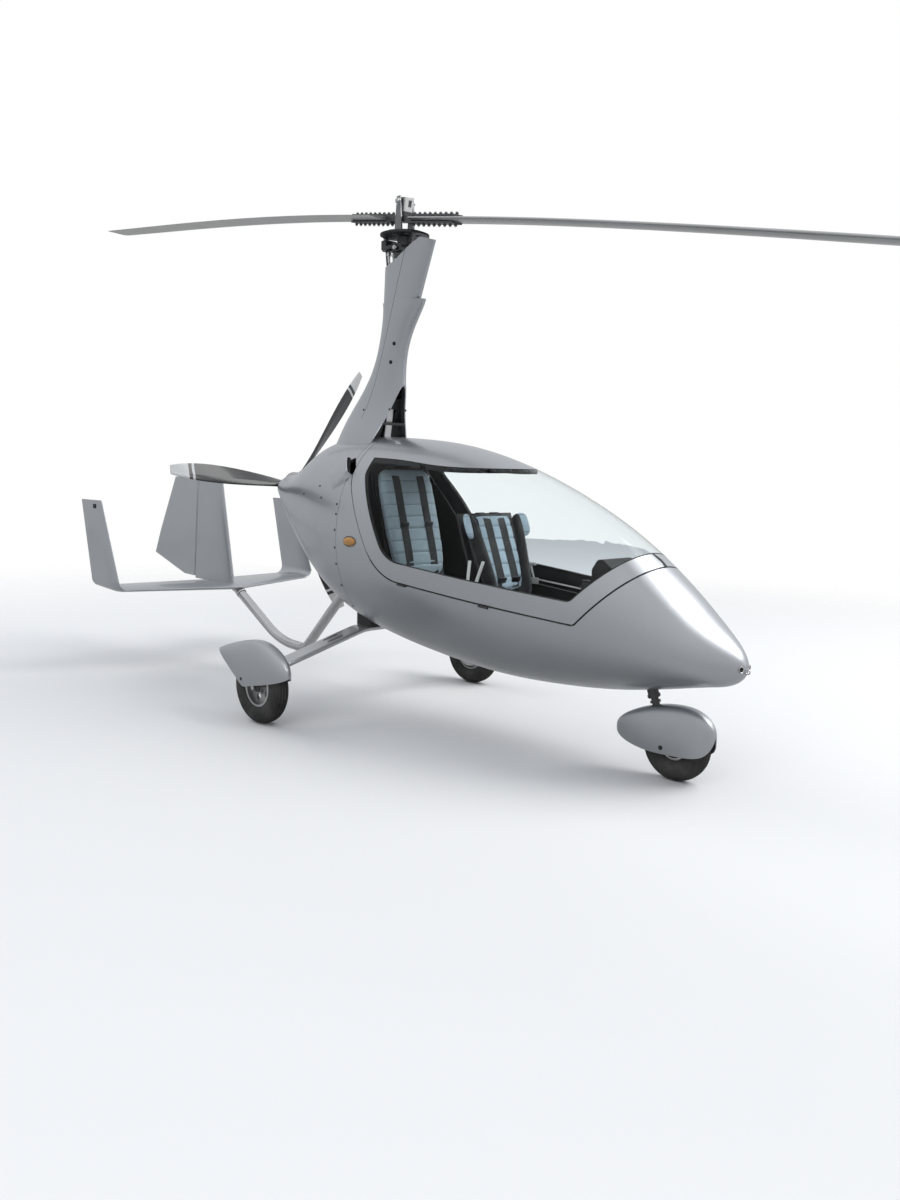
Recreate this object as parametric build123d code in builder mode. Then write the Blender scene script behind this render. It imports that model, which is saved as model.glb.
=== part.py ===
from build123d import *
from math import cos, radians, sin, tan
import os

# An enclosed two-seat gyroplane, in millimetres.
# +Z is up, the nose points along -Y and the port side is +X.
# The origin is on the ground, straight below the rotor's axis.

os.makedirs("parts", exist_ok=True)

# Fuselage
HULL_WALL = 20
WAIST = 0.47             # height of the widest line, as a share of a section's height
JOINT_Y = 85             # joint between the cabin shell and the engine cowling
# Fuselage sections: place along Y, half width, top, bottom
HULL = [
    (-2130, 18, 562, 533),
    (-2090, 80, 622, 477),
    (-1990, 165, 708, 446),
    (-1820, 242, 853, 411),
    (-1570, 308, 1040, 364),
    (-1250, 359, 1214, 332),
    (-880, 394, 1359, 324),
    (-480, 401, 1455, 356),
    (-80, 394, 1489, 418),
    (290, 348, 1491, 527),
    (610, 261, 1410, 738),
    (890, 174, 1274, 1110),
]
HULL_INNER_NOSE = (-2108, 24, 570, 529)

# Canopy, seen from the side: corner place along Y, height, corner radius
SEAM_CORNERS = [
    (-1473, 668, 35),
    (-266, 768, 300),
    (50, 1265, 150),
    (50, 1650, 0),
    (-1830, 1650, 0),
    (-1830, 1042, 0),
]
WINDOW_CORNERS = [
    (-1446, 771, 45),
    (-324, 864, 190),
    (-50, 1293, 60),
    (-50, 1700, 0),
    (-1902, 1700, 0),
    (-1902, 1250, 0),
]
SEAM_GAP = 8
GLASS = 4
ROOF_HALF_WIDTH = 233
ROOF_ROUND_Y = -400      # where the roof band starts to taper
ROOF_TIP_Y = -937
SCOOP = (272, 84, 1334)  # middle of a side air intake
HINGE_FRONT = (-391, -1000, 705)   # two points on the canopy's hinge line
HINGE_REAR = (-396, -450, 751)
HINGE_Y = (-1000, -450)

# Mast and rotor
MAST_FOOT = (0, 255, 640)
MAST_TOP = (0, 5, 2440)
TEETER_Z = 2722
BAR_DROP = 85            # hub bar's middle below the teeter bolt
ROTOR_RADIUS = 4200
PINION_Y = 147
BLADE_ROOT = 120
BAR_HALF_LENGTH = 480
BLADE_CHORD = 200
BLADE_THICKNESS = 25
BLADE_DROOP = 121        # how far a resting blade's tip hangs below its root line
ROTOR_AZIMUTH = -8.1     # blade line off the fore-and-aft line, seen from above
TEETER_REST = 9.5        # front blade down
# Mast fairing, lower part: height, front edge, rear edge, half width
FAIRING = [
    (1380, -60, 560, 160),
    (1480, -40, 495, 138),
    (1614, -28, 417, 86),
    (1770, -20, 290, 54),
    (1930, -27, 200, 48),
    (2068, -78, 165, 48),
    (2212, -165, 158, 50),
]
FAIRING_WALL = 7

# Propeller
PROP_Y = 934
PROP_Z = 1205
PROP_RADIUS = 865
PROP_ANGLE = 35.1        # first blade's lean to port from straight up
# Propeller blade: distance from the hub, chord, thickness, twist
PROP_SECTIONS = [
    (90, 62, 40, 58),
    (240, 92, 22, 44),
    (480, 112, 14, 29),
    (720, 98, 10, 21),
    (865, 52, 6, 18),
]

# Landing gear
AXLE_Y = 162
TRACK = 797
TYRE_RADIUS = 192
TYRE_HALF_WIDTH = 46
RIM_RADIUS = 104
AXLE_RADIUS = 12
BOW_SLOT_X = 330         # middle of the two slots in each arm of the bow
NOSE_AXLE_Y = -1820
NOSE_RADIUS = 160
NOSE_HALF_WIDTH = 44
NOSE_RIM_RADIUS = 66
RAKE = 20                # nose leg's lean from upright
STEER_POINT = (0, -1700, 330)
# Wheel fairings: place along Y from the axle, half width, top, bottom
SPAT = [
    (-250, 10, 305, 268),
    (-215, 40, 355, 252),
    (-120, 64, 412, 220),
    (20, 70, 432, 185),
    (170, 60, 405, 205),
    (320, 36, 345, 245),
    (420, 8, 292, 272),
]
NOSE_SPAT = [
    (-215, 10, 250, 218),
    (-180, 40, 295, 190),
    (-90, 66, 344, 142),
    (20, 72, 354, 100),
    (115, 64, 330, 98),
    (225, 36, 255, 128),
    (308, 8, 185, 158),
]
SPAT_WALL = 5

# Tail
BOOM_RADIUS = 29
TUBE_WALL = 3            # wall of the keel tube and the mast tube
BOOM_PATH = [(292, 655), (405, 655), (836, 204), (1098, 220), (1600, 517)]
BOOM_BENDS = [90, 100, 560]
TAIL_Z = 517
TAIL_SPAN = 694          # half span of the tailplane, to where the tips turn up
FIN_BEND = 58            # radius of that turn
CORNER_CHORD = (1752, 2106)
FIN_TOP = 1073
RUDDER_TOP = 1222
HINGE_FOOT = (0, 2084, 523)
HINGE_LEAN = 0.088       # how far the rudder hinge moves forward per unit of height
RUDDER_NOSE = 22


def oval(y, half_width, top, bottom, inset=0):
    """Fuselage section: an upper and a lower half ellipse that meet at the widest line."""
    waist = bottom + WAIST * (top - bottom)
    with BuildSketch(Plane.XZ.offset(-y)) as section:
        with BuildLine():
            EllipticalCenterArc((0, waist), half_width - inset, top - inset - waist, 0, arc_size=180)
            EllipticalCenterArc((0, waist), half_width - inset, waist - bottom - inset, 180, arc_size=180)
        make_face()
    return section.sketch


def side_face(corners, inset=0):
    """Closed outline seen from the side, with a radius at each corner."""
    with BuildSketch(Plane.YZ) as face:
        with BuildLine():
            FilletPolyline(*[(y, z) for y, z, _ in corners], radius=[r for _, _, r in corners], close=True)
        make_face()
        if inset:
            offset(amount=-inset)
    return face.sketch


def egg(z, front, rear, half_width, inset=0):
    """Level section of the mast fairing, rounder at the front than at the back."""
    middle = front + 0.4 * (rear - front)
    with BuildSketch(Plane.XY.offset(z)) as section:
        with BuildLine():
            EllipticalCenterArc((0, middle), half_width - inset, middle - front - inset, 180, arc_size=180)
            EllipticalCenterArc((0, middle), half_width - inset, rear - middle - inset, 0, arc_size=180)
        make_face()
    return section.sketch


def arch(y, x, half_width, top, bottom, inset=0, drop=0):
    """Wheel fairing section: upright sides under a half ellipse."""
    shoulder = bottom + 0.42 * (top - bottom)
    wide = max(half_width - inset, 3)
    with BuildSketch(Plane.XZ.offset(-y)) as section:
        with BuildLine():
            EllipticalCenterArc((x, shoulder), wide, top - inset - shoulder, 0, arc_size=180)
            Polyline(
                (x - wide, shoulder),
                (x - wide, bottom - drop),
                (x + wide, bottom - drop),
                (x + wide, shoulder),
            )
        make_face()
    return section.sketch


def wing_section(plane, lead, trail, thickness, tail=4):
    """Streamlined section on a plane whose X runs along the chord."""
    nose = 0.32 * (trail - lead)
    with BuildSketch(plane) as section:
        with BuildLine():
            EllipticalCenterArc((lead + nose, 0), nose, thickness / 2, 90, arc_size=180)
            Polyline(
                (lead + nose, -thickness / 2),
                (trail, -tail / 2),
                (trail, tail / 2),
                (lead + nose, thickness / 2),
            )
        make_face()
    return section.sketch


def upright_plane(x, z):
    """Level plane whose X runs aft, for fins."""
    return Plane(origin=(x, 0, z), x_dir=(0, 1, 0), z_dir=(0, 0, 1))


def across_plane(x, z):
    """Upright plane whose X runs aft, for the tailplane."""
    return Plane(origin=(x, 0, z), x_dir=(0, 1, 0), z_dir=(1, 0, 0))


# Fuselage forms: the outside, the cabin's inside and the inside of the glass

with BuildPart() as hull_form:
    loft(sections=[oval(*row) for row in HULL])

with BuildPart() as cabin_form:
    loft(sections=[oval(*HULL_INNER_NOSE), *[oval(*row, inset=HULL_WALL) for row in HULL[1:]]])

with BuildPart() as glass_form:
    loft(sections=[oval(*row, inset=GLASS) for row in HULL])

with BuildPart() as canopy_zone:
    extrude(side_face(SEAM_CORNERS), amount=500, both=True)

with BuildPart() as canopy_inset:
    extrude(side_face(SEAM_CORNERS, inset=SEAM_GAP), amount=500, both=True)

with BuildPart() as window_zone:
    extrude(side_face(WINDOW_CORNERS), amount=500, both=True)
    with BuildSketch(Plane.XY.offset(1000)) as roof_band:
        with BuildLine():
            EllipticalCenterArc(
                (0, ROOF_ROUND_Y), ROOF_HALF_WIDTH, ROOF_ROUND_Y - ROOF_TIP_Y, 180, arc_size=180
            )
            Polyline(
                (ROOF_HALF_WIDTH, ROOF_ROUND_Y),
                (ROOF_HALF_WIDTH, 200),
                (-ROOF_HALF_WIDTH, 200),
                (-ROOF_HALF_WIDTH, ROOF_ROUND_Y),
            )
        make_face()
    extrude(amount=800, mode=Mode.SUBTRACT)

# Steering axis of the nose leg, raked back from the wheel

steer_plane = Plane(origin=STEER_POINT, x_dir=(1, 0, 0), z_dir=(0, sin(radians(RAKE)), cos(radians(RAKE))))
SLEEVE_RADIUS = 25
STEM_RADIUS = 17

with BuildPart() as nose_leg_sleeve:
    with BuildSketch(steer_plane.offset(18)):
        Circle(SLEEVE_RADIUS)
        Circle(STEM_RADIUS + 0.5, mode=Mode.SUBTRACT)
    extrude(amount=167)
    with BuildSketch(steer_plane.offset(22)):
        Circle(SLEEVE_RADIUS + 4)
        Circle(SLEEVE_RADIUS - 1, mode=Mode.SUBTRACT)
    extrude(amount=14)

with BuildPart() as sleeve_hole:
    with BuildSketch(steer_plane.offset(-20)):
        Circle(SLEEVE_RADIUS)
    extrude(amount=205)

# Keel tube, from the mast's foot out under the propeller and up to the tail

boom_start = Plane(origin=(0, *BOOM_PATH[0]), x_dir=(1, 0, 0), z_dir=(0, 1, 0))

with BuildPart() as boom_form:
    with BuildLine(Plane.YZ):
        FilletPolyline(*BOOM_PATH, radius=BOOM_BENDS)
    with BuildSketch(boom_start):
        Circle(BOOM_RADIUS)
    sweep()

with BuildPart() as tail_boom:
    add(boom_form.part)
    with BuildLine(Plane.YZ):
        FilletPolyline(*BOOM_PATH, radius=BOOM_BENDS)
    with BuildSketch(boom_start):
        Circle(BOOM_RADIUS - TUBE_WALL)
    sweep(mode=Mode.SUBTRACT)

# Mast tube, leaning forward to the rotor head

mast_vector = Vector(*MAST_TOP) - Vector(*MAST_FOOT)
mast_plane = Plane(origin=MAST_FOOT, x_dir=(1, 0, 0), z_dir=mast_vector.normalized())

with BuildPart() as mast_tube:
    with BuildSketch(mast_plane):
        RectangleRounded(50, 60, 8)
        RectangleRounded(50 - 2 * TUBE_WALL, 60 - 2 * TUBE_WALL, 5, mode=Mode.SUBTRACT)
    extrude(amount=mast_vector.length)
    split(bisect_by=Plane.XY.offset(MAST_TOP[2]), keep=Keep.BOTTOM)
    add(boom_form.part, mode=Mode.SUBTRACT)

with BuildPart() as mast_hole:
    with BuildSketch(mast_plane):
        Rectangle(62, 72)
    extrude(amount=mast_vector.length)

# Side air intakes: one slot on each shoulder, its mouth facing forward and outward

with BuildPart() as scoop_slots:
    for side in (-1, 1):
        scoop_plane = Plane(
            origin=(side * SCOOP[0], SCOOP[1], SCOOP[2]),
            x_dir=(side * 58, -70, -79),
            z_dir=(side * 0.72, -0.25, 0.66),
        )
        with BuildSketch(scoop_plane.offset(-60)):
            RectangleRounded(114, 46, 14)
        extrude(amount=120)

# Cabin shell, cowling, firewall and floor

with BuildPart() as fuselage_tub:
    add(hull_form.part)
    add(cabin_form.part, mode=Mode.SUBTRACT)
    add(canopy_zone.part, mode=Mode.SUBTRACT)
    split(bisect_by=Plane.XZ.offset(-JOINT_Y), keep=Keep.TOP)
    add(sleeve_hole.part, mode=Mode.SUBTRACT)
    add(scoop_slots.part, mode=Mode.SUBTRACT)
    with BuildSketch(Plane.XZ.offset(2140)):
        with Locations((-34, 545), (34, 545)):
            Circle(11)
    extrude(amount=-60, mode=Mode.SUBTRACT)

with BuildPart() as engine_cowling:
    add(hull_form.part)
    add(cabin_form.part, mode=Mode.SUBTRACT)
    split(bisect_by=Plane.XZ.offset(-JOINT_Y), keep=Keep.BOTTOM)
    add(scoop_slots.part, mode=Mode.SUBTRACT)
    add(mast_hole.part, mode=Mode.SUBTRACT)
    add(boom_form.part, mode=Mode.SUBTRACT)

with BuildPart() as firewall:
    with BuildSketch(Plane.XZ.offset(-66)):
        Rectangle(1000, 4000)
    extrude(amount=-4)
    add(cabin_form.part, mode=Mode.INTERSECT)

with BuildPart() as cabin_floor:
    with BuildSketch(Plane.XY.offset(440)):
        with Locations((0, -780)):
            Rectangle(1000, 1620)
    extrude(amount=12)
    with BuildSketch(Plane.XY.offset(452)):
        with Locations((0, -700)):
            RectangleRounded(150, 1300, 20)
    extrude(amount=70)
    add(cabin_form.part, mode=Mode.INTERSECT)

with BuildPart() as canopy_frame:
    add(hull_form.part)
    add(cabin_form.part, mode=Mode.SUBTRACT)
    add(canopy_inset.part, mode=Mode.INTERSECT)
    add(window_zone.part, mode=Mode.SUBTRACT)

with BuildPart() as canopy_glass:
    add(hull_form.part)
    add(glass_form.part, mode=Mode.SUBTRACT)
    add(window_zone.part, mode=Mode.INTERSECT)

# Engine: one plain block, its gearbox and the tubes that hold it

with BuildPart() as engine_block:
    with BuildSketch(Plane.XZ.offset(-250)):
        with Locations((0, 1095)):
            RectangleRounded(380, 300, 30)
    extrude(amount=-390)

with BuildPart() as gearbox:
    with BuildSketch(Plane.XZ.offset(-640)):
        with Locations((0, 1170)):
            RectangleRounded(170, 210, 40)
    with BuildSketch(Plane.XZ.offset(-820)):
        with Locations((0, PROP_Z)):
            Circle(44)
    loft()
    with BuildSketch(Plane.XZ.offset(-820)):
        with Locations((0, PROP_Z)):
            Circle(30)
    extrude(amount=-(PROP_Y - 30 - 820))

with BuildPart() as engine_mount:
    with BuildSketch(Plane.XZ.offset(-70)):
        with GridLocations(240, 180, 2, 2):
            with Locations((0, 1095)):
                Circle(14)
    extrude(amount=-180)

# Mast fairing, open at its cut top and at the intake in its foot

with BuildPart() as fairing_inside:
    loft(sections=[egg(*row, inset=FAIRING_WALL) for row in FAIRING])
    loft(sections=[egg(2212, -122, 150, 48, FAIRING_WALL), egg(2600, -268, 138, 48, FAIRING_WALL)])

with BuildPart() as mast_fairing:
    loft(sections=[egg(*row) for row in FAIRING])
    loft(sections=[egg(2212, -122, 150, 48), egg(2600, -268, 138, 48)])
    add(fairing_inside.part, mode=Mode.SUBTRACT)
    with BuildSketch(Plane.YZ):
        with BuildLine():
            Polyline(
                (-320, 2470), (-236, 2500), (-160, 2520), (-58, 2471), (34, 2420), (180, 2390),
                (180, 2700), (-320, 2700), close=True,
            )
        make_face()
        with BuildLine():
            Polyline((-15, 1770), (-400, 1770), (-400, 1200), (191, 1200), close=True)
        make_face()
    extrude(amount=300, both=True, mode=Mode.SUBTRACT)
    add(hull_form.part, mode=Mode.SUBTRACT)

with BuildPart() as intake_screen:
    with BuildSketch(Plane.YZ):
        with BuildLine():
            Polyline((60, 1700), (68, 1700), (172, 1400), (164, 1400), close=True)
        make_face()
        with Locations((78, 1565)):
            Rectangle(40, 14)
    extrude(amount=300, both=True)
    add(fairing_inside.part, mode=Mode.INTERSECT)
    add(hull_form.part, mode=Mode.SUBTRACT)
    add(mast_hole.part, mode=Mode.SUBTRACT)

# Rotor head on the mast, with the pre-rotation drive and the rods that tilt it

with BuildPart() as rotor_head:
    with BuildSketch(Plane.XY.offset(MAST_TOP[2])):
        RectangleRounded(60, 86, 8)
    extrude(amount=32)
    with BuildSketch(Plane.XY.offset(2466)):
        RectangleRounded(112, 50, 8)
    extrude(amount=30)
    with BuildSketch(Plane.XY.offset(2490)):
        Circle(40)
    extrude(amount=50)
    with BuildSketch(Plane.XY.offset(2496)):
        Circle(52)
    extrude(amount=10)
    with BuildSketch(Plane.XY.offset(2506)):
        with PolarLocations(46, 8):
            RegularPolygon(5, 6)
    extrude(amount=7)
    with BuildSketch(Plane.YZ.offset(-70)):
        with Locations((0, 2481)):
            Circle(9)
    extrude(amount=140)
    with BuildSketch(Plane.XY.offset(2479)):
        with Locations((0, 70)):
            RectangleRounded(54, 92, 8)
    extrude(amount=9)
    with BuildSketch(Plane.XY.offset(2500)):
        Circle(20)
    extrude(amount=45, mode=Mode.SUBTRACT)

# Drive pinion beside the ring gear, its housing and the shaft up from the engine
drive_foot, drive_head = Vector(0, 118, 2300), Vector(0, 143, 2486)

with BuildPart() as prerotator:
    with BuildSketch(Plane.XY.offset(2488)):
        with Locations((0, PINION_Y)):
            Circle(21)
    extrude(amount=46)
    with BuildSketch(Plane.XY.offset(2534)):
        with Locations((0, PINION_Y)):
            Circle(8)
    extrude(amount=10)
    with BuildSketch(Plane.XY.offset(2543)):
        with Locations((0, PINION_Y)):
            Circle(14)
    extrude(amount=16)
    with BuildSketch(Plane.XY.offset(2490)):
        with Locations((0, 118)):
            RectangleRounded(34, 44, 6)
    extrude(amount=12)
    with BuildSketch(Plane(origin=drive_foot, x_dir=(1, 0, 0), z_dir=drive_head - drive_foot)):
        Circle(6)
    extrude(amount=(drive_head - drive_foot).length + 6)
    add(rotor_head.part, mode=Mode.SUBTRACT)

with BuildPart() as control_rods:
    for side in (-1, 1):
        rod_head, rod_foot = Vector(side * 18, 104, 2478), Vector(side * 10, 88, 2180)
        with BuildSketch(Plane(origin=rod_head, x_dir=(1, 0, 0), z_dir=rod_foot - rod_head)):
            Circle(5)
        extrude(amount=(rod_foot - rod_head).length)
        with BuildSketch(Plane.YZ.offset(side * 18 - 8)):
            with Locations((103, 2464)):
                Circle(11)
        extrude(amount=16)

# Rotor: ring gear, tower, then the teetering hub bar and blades

rotor_turn = radians(ROTOR_AZIMUTH)
teeter_turn = radians(TEETER_REST)
across = Vector(cos(rotor_turn), sin(rotor_turn), 0)     # along the teeter bolt
along = Vector(-sin(rotor_turn), cos(rotor_turn), 0)     # aft along the blades, level
tower_plane = Plane(origin=(0, 0, 0), x_dir=across, z_dir=(0, 0, 1))
disc_normal = Vector(0, 0, 1) * cos(teeter_turn) - along * sin(teeter_turn)
teeter_plane = Plane(origin=(0, 0, TEETER_Z), x_dir=across, z_dir=disc_normal)
cheek_plane = Plane(origin=(0, 0, 0), x_dir=along, z_dir=across)
CHEEK_INSIDE = 37
CHEEK = 8
BOLT_RADIUS = 9

with BuildPart() as ring_gear:
    with BuildSketch(tower_plane.offset(2546)):
        Circle(128)
        with PolarLocations(75, 6):
            Circle(20, mode=Mode.SUBTRACT)
    extrude(amount=11)

with BuildPart() as rotor_tower:
    with BuildSketch(tower_plane.offset(2501)):
        Circle(19.5)
    extrude(amount=45)
    add(ring_gear.part, mode=Mode.SUBTRACT)
    with BuildSketch(tower_plane.offset(2557)):
        RectangleRounded(2 * (CHEEK_INSIDE + CHEEK), 66, 6)
    extrude(amount=12)
    for side in (-1, 1):
        with BuildSketch(cheek_plane.offset(side * (CHEEK_INSIDE + CHEEK / 2))):
            with BuildLine():
                Polyline((-33, 2565), (33, 2565), (15, 2748), (-15, 2748), close=True)
            make_face()
        extrude(amount=CHEEK / 2, both=True)
    with BuildSketch(cheek_plane.offset(-54)):
        with Locations((0, TEETER_Z)):
            Circle(BOLT_RADIUS)
    extrude(amount=108)

with BuildPart() as hub_bar:
    with BuildSketch(teeter_plane.offset(-BAR_DROP - 17)):
        RectangleRounded(56, 76, 5)
    extrude(amount=BAR_DROP + 17 + 22)
    with BuildSketch(teeter_plane.offset(-BAR_DROP - 15)):
        Rectangle(64, 2 * BLADE_ROOT)
    extrude(amount=30)
    with BuildSketch(Plane(origin=(0, 0, TEETER_Z), x_dir=along, z_dir=across).offset(-40)):
        Circle(BOLT_RADIUS + 0.3)
    extrude(amount=80, mode=Mode.SUBTRACT)
    for side in (-1, 1):
        for face in (-1, 1):
            level = -BAR_DROP + face * (BLADE_THICKNESS / 2 + 5.3)
            with BuildSketch(teeter_plane.offset(level)):
                with Locations((0, side * 280)):
                    Rectangle(62, 400)
            extrude(amount=5, both=True)
            with BuildSketch(teeter_plane.offset(level + face * 5)):
                with Locations((0, side * 285)):
                    with GridLocations(0, 46, 1, 9):
                        RegularPolygon(9, 6)
            extrude(amount=face * 10)


def blade_section(side, distance):
    """Rotor blade section at a distance along the span, lowered by the blade's droop."""
    share = max(distance - BAR_HALF_LENGTH, 0) / (ROTOR_RADIUS - BAR_HALF_LENGTH)
    sag = BLADE_DROOP * (6 * share**2 - 4 * share**3 + share**4) / 3
    origin = teeter_plane.from_local_coords(Vector(0, side * distance, -BAR_DROP)) - Vector(0, 0, sag)
    plane = Plane(origin=origin, x_dir=across * -side, z_dir=teeter_plane.y_dir * side)
    return wing_section(plane, -0.3 * BLADE_CHORD, 0.7 * BLADE_CHORD, BLADE_THICKNESS, 3)


with BuildPart() as blade_pair:
    for side in (-1, 1):
        loft(sections=[blade_section(side, BLADE_ROOT + 0.5), blade_section(side, BAR_HALF_LENGTH)])
        loft(sections=[blade_section(side, d) for d in (BAR_HALF_LENGTH, 1700, 2950, ROTOR_RADIUS)])

# Propeller: three twisted blades in a clamped hub

prop_plane = Plane(origin=(0, PROP_Y, PROP_Z), x_dir=(0, 0, 1), z_dir=(0, 1, 0))

with BuildPart() as prop_blade:
    sections = []
    for distance, chord, thickness, twist in PROP_SECTIONS:
        turn = radians(twist)
        plane = Plane(origin=(distance, 0, 0), x_dir=(0, cos(turn), sin(turn)), z_dir=(1, 0, 0))
        sections.append(wing_section(plane, -0.4 * chord, 0.6 * chord, thickness, 2))
    loft(sections=sections)
    with BuildSketch(Plane.YZ.offset(40)):
        Circle(17)
    extrude(amount=60)

with BuildPart(prop_plane) as propeller_blades:
    with PolarLocations(0, 3, start_angle=PROP_ANGLE):
        add(prop_blade.part)

with BuildPart() as propeller_hub:
    with BuildSketch(Plane.XZ.offset(-(PROP_Y - 28))):
        with Locations((0, PROP_Z)):
            Circle(78)
    extrude(amount=-56)
    with BuildSketch(Plane.XZ.offset(-(PROP_Y + 28))):
        with Locations((0, PROP_Z)):
            Circle(45)
    extrude(amount=-14)
    add(propeller_blades.part, mode=Mode.SUBTRACT)

# Main gear: one bow, an axle, a wheel and a fairing on each side

bow_plane = Plane(origin=(0, AXLE_Y, 0), x_dir=(1, 0, 0), z_dir=(0, -1, 0))

with BuildPart() as gear_bow:
    with BuildLine(bow_plane):
        FilletPolyline((-712, 284), (-140, 433), (140, 433), (712, 284), radius=350)
    with BuildSketch(Plane(origin=(-712, AXLE_Y, 284), x_dir=(0, 1, 0), z_dir=(572, 0, 149))):
        RectangleRounded(118, 26, 12)
    sweep()
    for side in (-1, 1):
        slope = Plane(
            origin=(side * BOW_SLOT_X, AXLE_Y, 400), x_dir=(572, 0, -side * 149), z_dir=(side * 149, 0, 572)
        )
        with BuildSketch(slope.offset(-60)):
            with GridLocations(0, 46, 1, 2):
                SlotOverall(105, 17)
        extrude(amount=120, mode=Mode.SUBTRACT)

with BuildPart() as gear_saddle:
    with BuildSketch(Plane.XY.offset(446)):
        with Locations((0, AXLE_Y)):
            RectangleRounded(220, 130, 12)
    extrude(amount=110)
    add(hull_form.part, mode=Mode.SUBTRACT)
    add(gear_bow.part, mode=Mode.SUBTRACT)


def wheel_plane(x, y, z, side):
    """Plane across a wheel's axle, facing outboard."""
    return Plane(origin=(x, y, z), x_dir=(0, side, 0), z_dir=(side, 0, 0))


with BuildPart() as main_axles:
    for side in (-1, 1):
        plane = wheel_plane(side * 712, AXLE_Y, TYRE_RADIUS, side)
        with BuildSketch(plane):
            with Locations((0, 45)):
                RectangleRounded(76, 150, 18)
        extrude(amount=12)
        with BuildSketch(plane):
            Circle(AXLE_RADIUS)
        extrude(amount=145)
        with BuildSketch(plane.offset(12)):
            Circle(30)
        extrude(amount=20)
    add(gear_bow.part, mode=Mode.SUBTRACT)


def tyre_at(x, y, radius, half_width, bead):
    """Tyre turned about its axle from a many-sided section."""
    depth = radius - bead
    corners = [(0.62, 0), (0.94, 0.22), (1, 0.5), (0.9, 0.74), (0.66, 0.9), (0.3, 0.985)]
    half = [(share * half_width, bead + up * depth) for share, up in corners]
    with BuildPart() as tyre:
        with BuildSketch(Plane(origin=(x, y, radius), x_dir=(1, 0, 0), z_dir=(0, -1, 0))):
            with BuildLine():
                Polyline(*half, (0, radius), *[(-across, up) for across, up in reversed(half)], close=True)
            make_face()
        revolve(axis=Axis((x, y, radius), (1, 0, 0)))
    return tyre


def rim_at(x, y, z, half_width, bead, bore):
    """Rim: a barrel with flanges, a web with round holes and a hub."""
    with BuildPart() as rim:
        with BuildSketch(Plane(origin=(x, y, z), x_dir=(1, 0, 0), z_dir=(0, -1, 0))):
            with BuildLine():
                Polyline(
                    (-half_width, bore), (half_width, bore), (half_width, bore + 16),
                    (5, bore + 16), (5, bead - 12), (half_width, bead - 7), (half_width, bead),
                    (-half_width, bead), (-half_width, bead - 7), (-5, bead - 12), (-5, bore + 16),
                    (-half_width, bore + 16), close=True,
                )
            make_face()
        revolve(axis=Axis((x, y, z), (1, 0, 0)))
        with BuildSketch(Plane(origin=(x - 20, y, z), x_dir=(0, 1, 0), z_dir=(1, 0, 0))):
            with PolarLocations((bead + bore) / 2, 5):
                Circle((bead - bore) / 5.5)
        extrude(amount=40, mode=Mode.SUBTRACT)
    return rim


main_tyre_right = tyre_at(-TRACK, AXLE_Y, TYRE_RADIUS, TYRE_HALF_WIDTH, RIM_RADIUS)
main_tyre_left = tyre_at(TRACK, AXLE_Y, TYRE_RADIUS, TYRE_HALF_WIDTH, RIM_RADIUS)
main_rim_right = rim_at(-TRACK, AXLE_Y, TYRE_RADIUS, 30, RIM_RADIUS, AXLE_RADIUS + 0.3)
main_rim_left = rim_at(TRACK, AXLE_Y, TYRE_RADIUS, 30, RIM_RADIUS, AXLE_RADIUS + 0.3)
nose_tyre = tyre_at(0, NOSE_AXLE_Y, NOSE_RADIUS, NOSE_HALF_WIDTH, NOSE_RIM_RADIUS)
nose_rim = rim_at(0, NOSE_AXLE_Y, NOSE_RADIUS, 27, NOSE_RIM_RADIUS, 10.3)


def spat_at(x, y, table):
    with BuildPart() as spat:
        loft(sections=[arch(y + dy, x, *row) for dy, *row in table])
        add(loft(sections=[arch(y + dy, x, *row, inset=SPAT_WALL, drop=60) for dy, *row in table[1:-1]],
                 mode=Mode.PRIVATE), mode=Mode.SUBTRACT)
    return spat


with BuildPart() as main_spats:
    for side in (-1, 1):
        add(spat_at(side * TRACK, AXLE_Y, SPAT).part)
    add(main_axles.part, mode=Mode.SUBTRACT)

# Nose gear: stem, fork, hollow axle and fairing all steer together

# Plane of the fork's legs, from the wheel's middle up to the stem
fork_reach = Vector(0, -1708 - NOSE_AXLE_Y, 304 - NOSE_RADIUS).normalized()
fork_plane = Plane(
    origin=(0, NOSE_AXLE_Y, NOSE_RADIUS), x_dir=(1, 0, 0), z_dir=Vector(1, 0, 0).cross(fork_reach)
)

with BuildPart() as nose_fork:
    with BuildSketch(steer_plane.offset(-22)):
        Circle(STEM_RADIUS)
    extrude(amount=205)
    with BuildSketch(steer_plane.offset(-4)):
        Circle(24)
    extrude(amount=12)
    with BuildSketch(fork_plane):
        with BuildLine():
            Polyline(
                (-57, -16), (-57, 118), (-26, 184), (26, 184), (57, 118), (57, -16),
                (51, -16), (51, 115), (22, 170), (-22, 170), (-51, 115), (-51, -16), close=True,
            )
        make_face()
    extrude(amount=14, both=True)
    with BuildSketch(Plane.YZ.offset(-64)):
        with Locations((NOSE_AXLE_Y, NOSE_RADIUS)):
            Circle(10)
    extrude(amount=128)
    with BuildSketch(Plane.YZ.offset(-64)):
        with Locations((NOSE_AXLE_Y, NOSE_RADIUS)):
            Circle(6)
    extrude(amount=128, mode=Mode.SUBTRACT)

with BuildPart() as nose_spat:
    add(spat_at(0, NOSE_AXLE_Y, NOSE_SPAT).part)
    add(nose_fork.part, mode=Mode.SUBTRACT)
    with BuildSketch(Plane.YZ.offset(-90)):
        with Locations((NOSE_AXLE_Y, NOSE_RADIUS)):
            Circle(10)
    extrude(amount=180, mode=Mode.SUBTRACT)

# Tail unit

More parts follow.
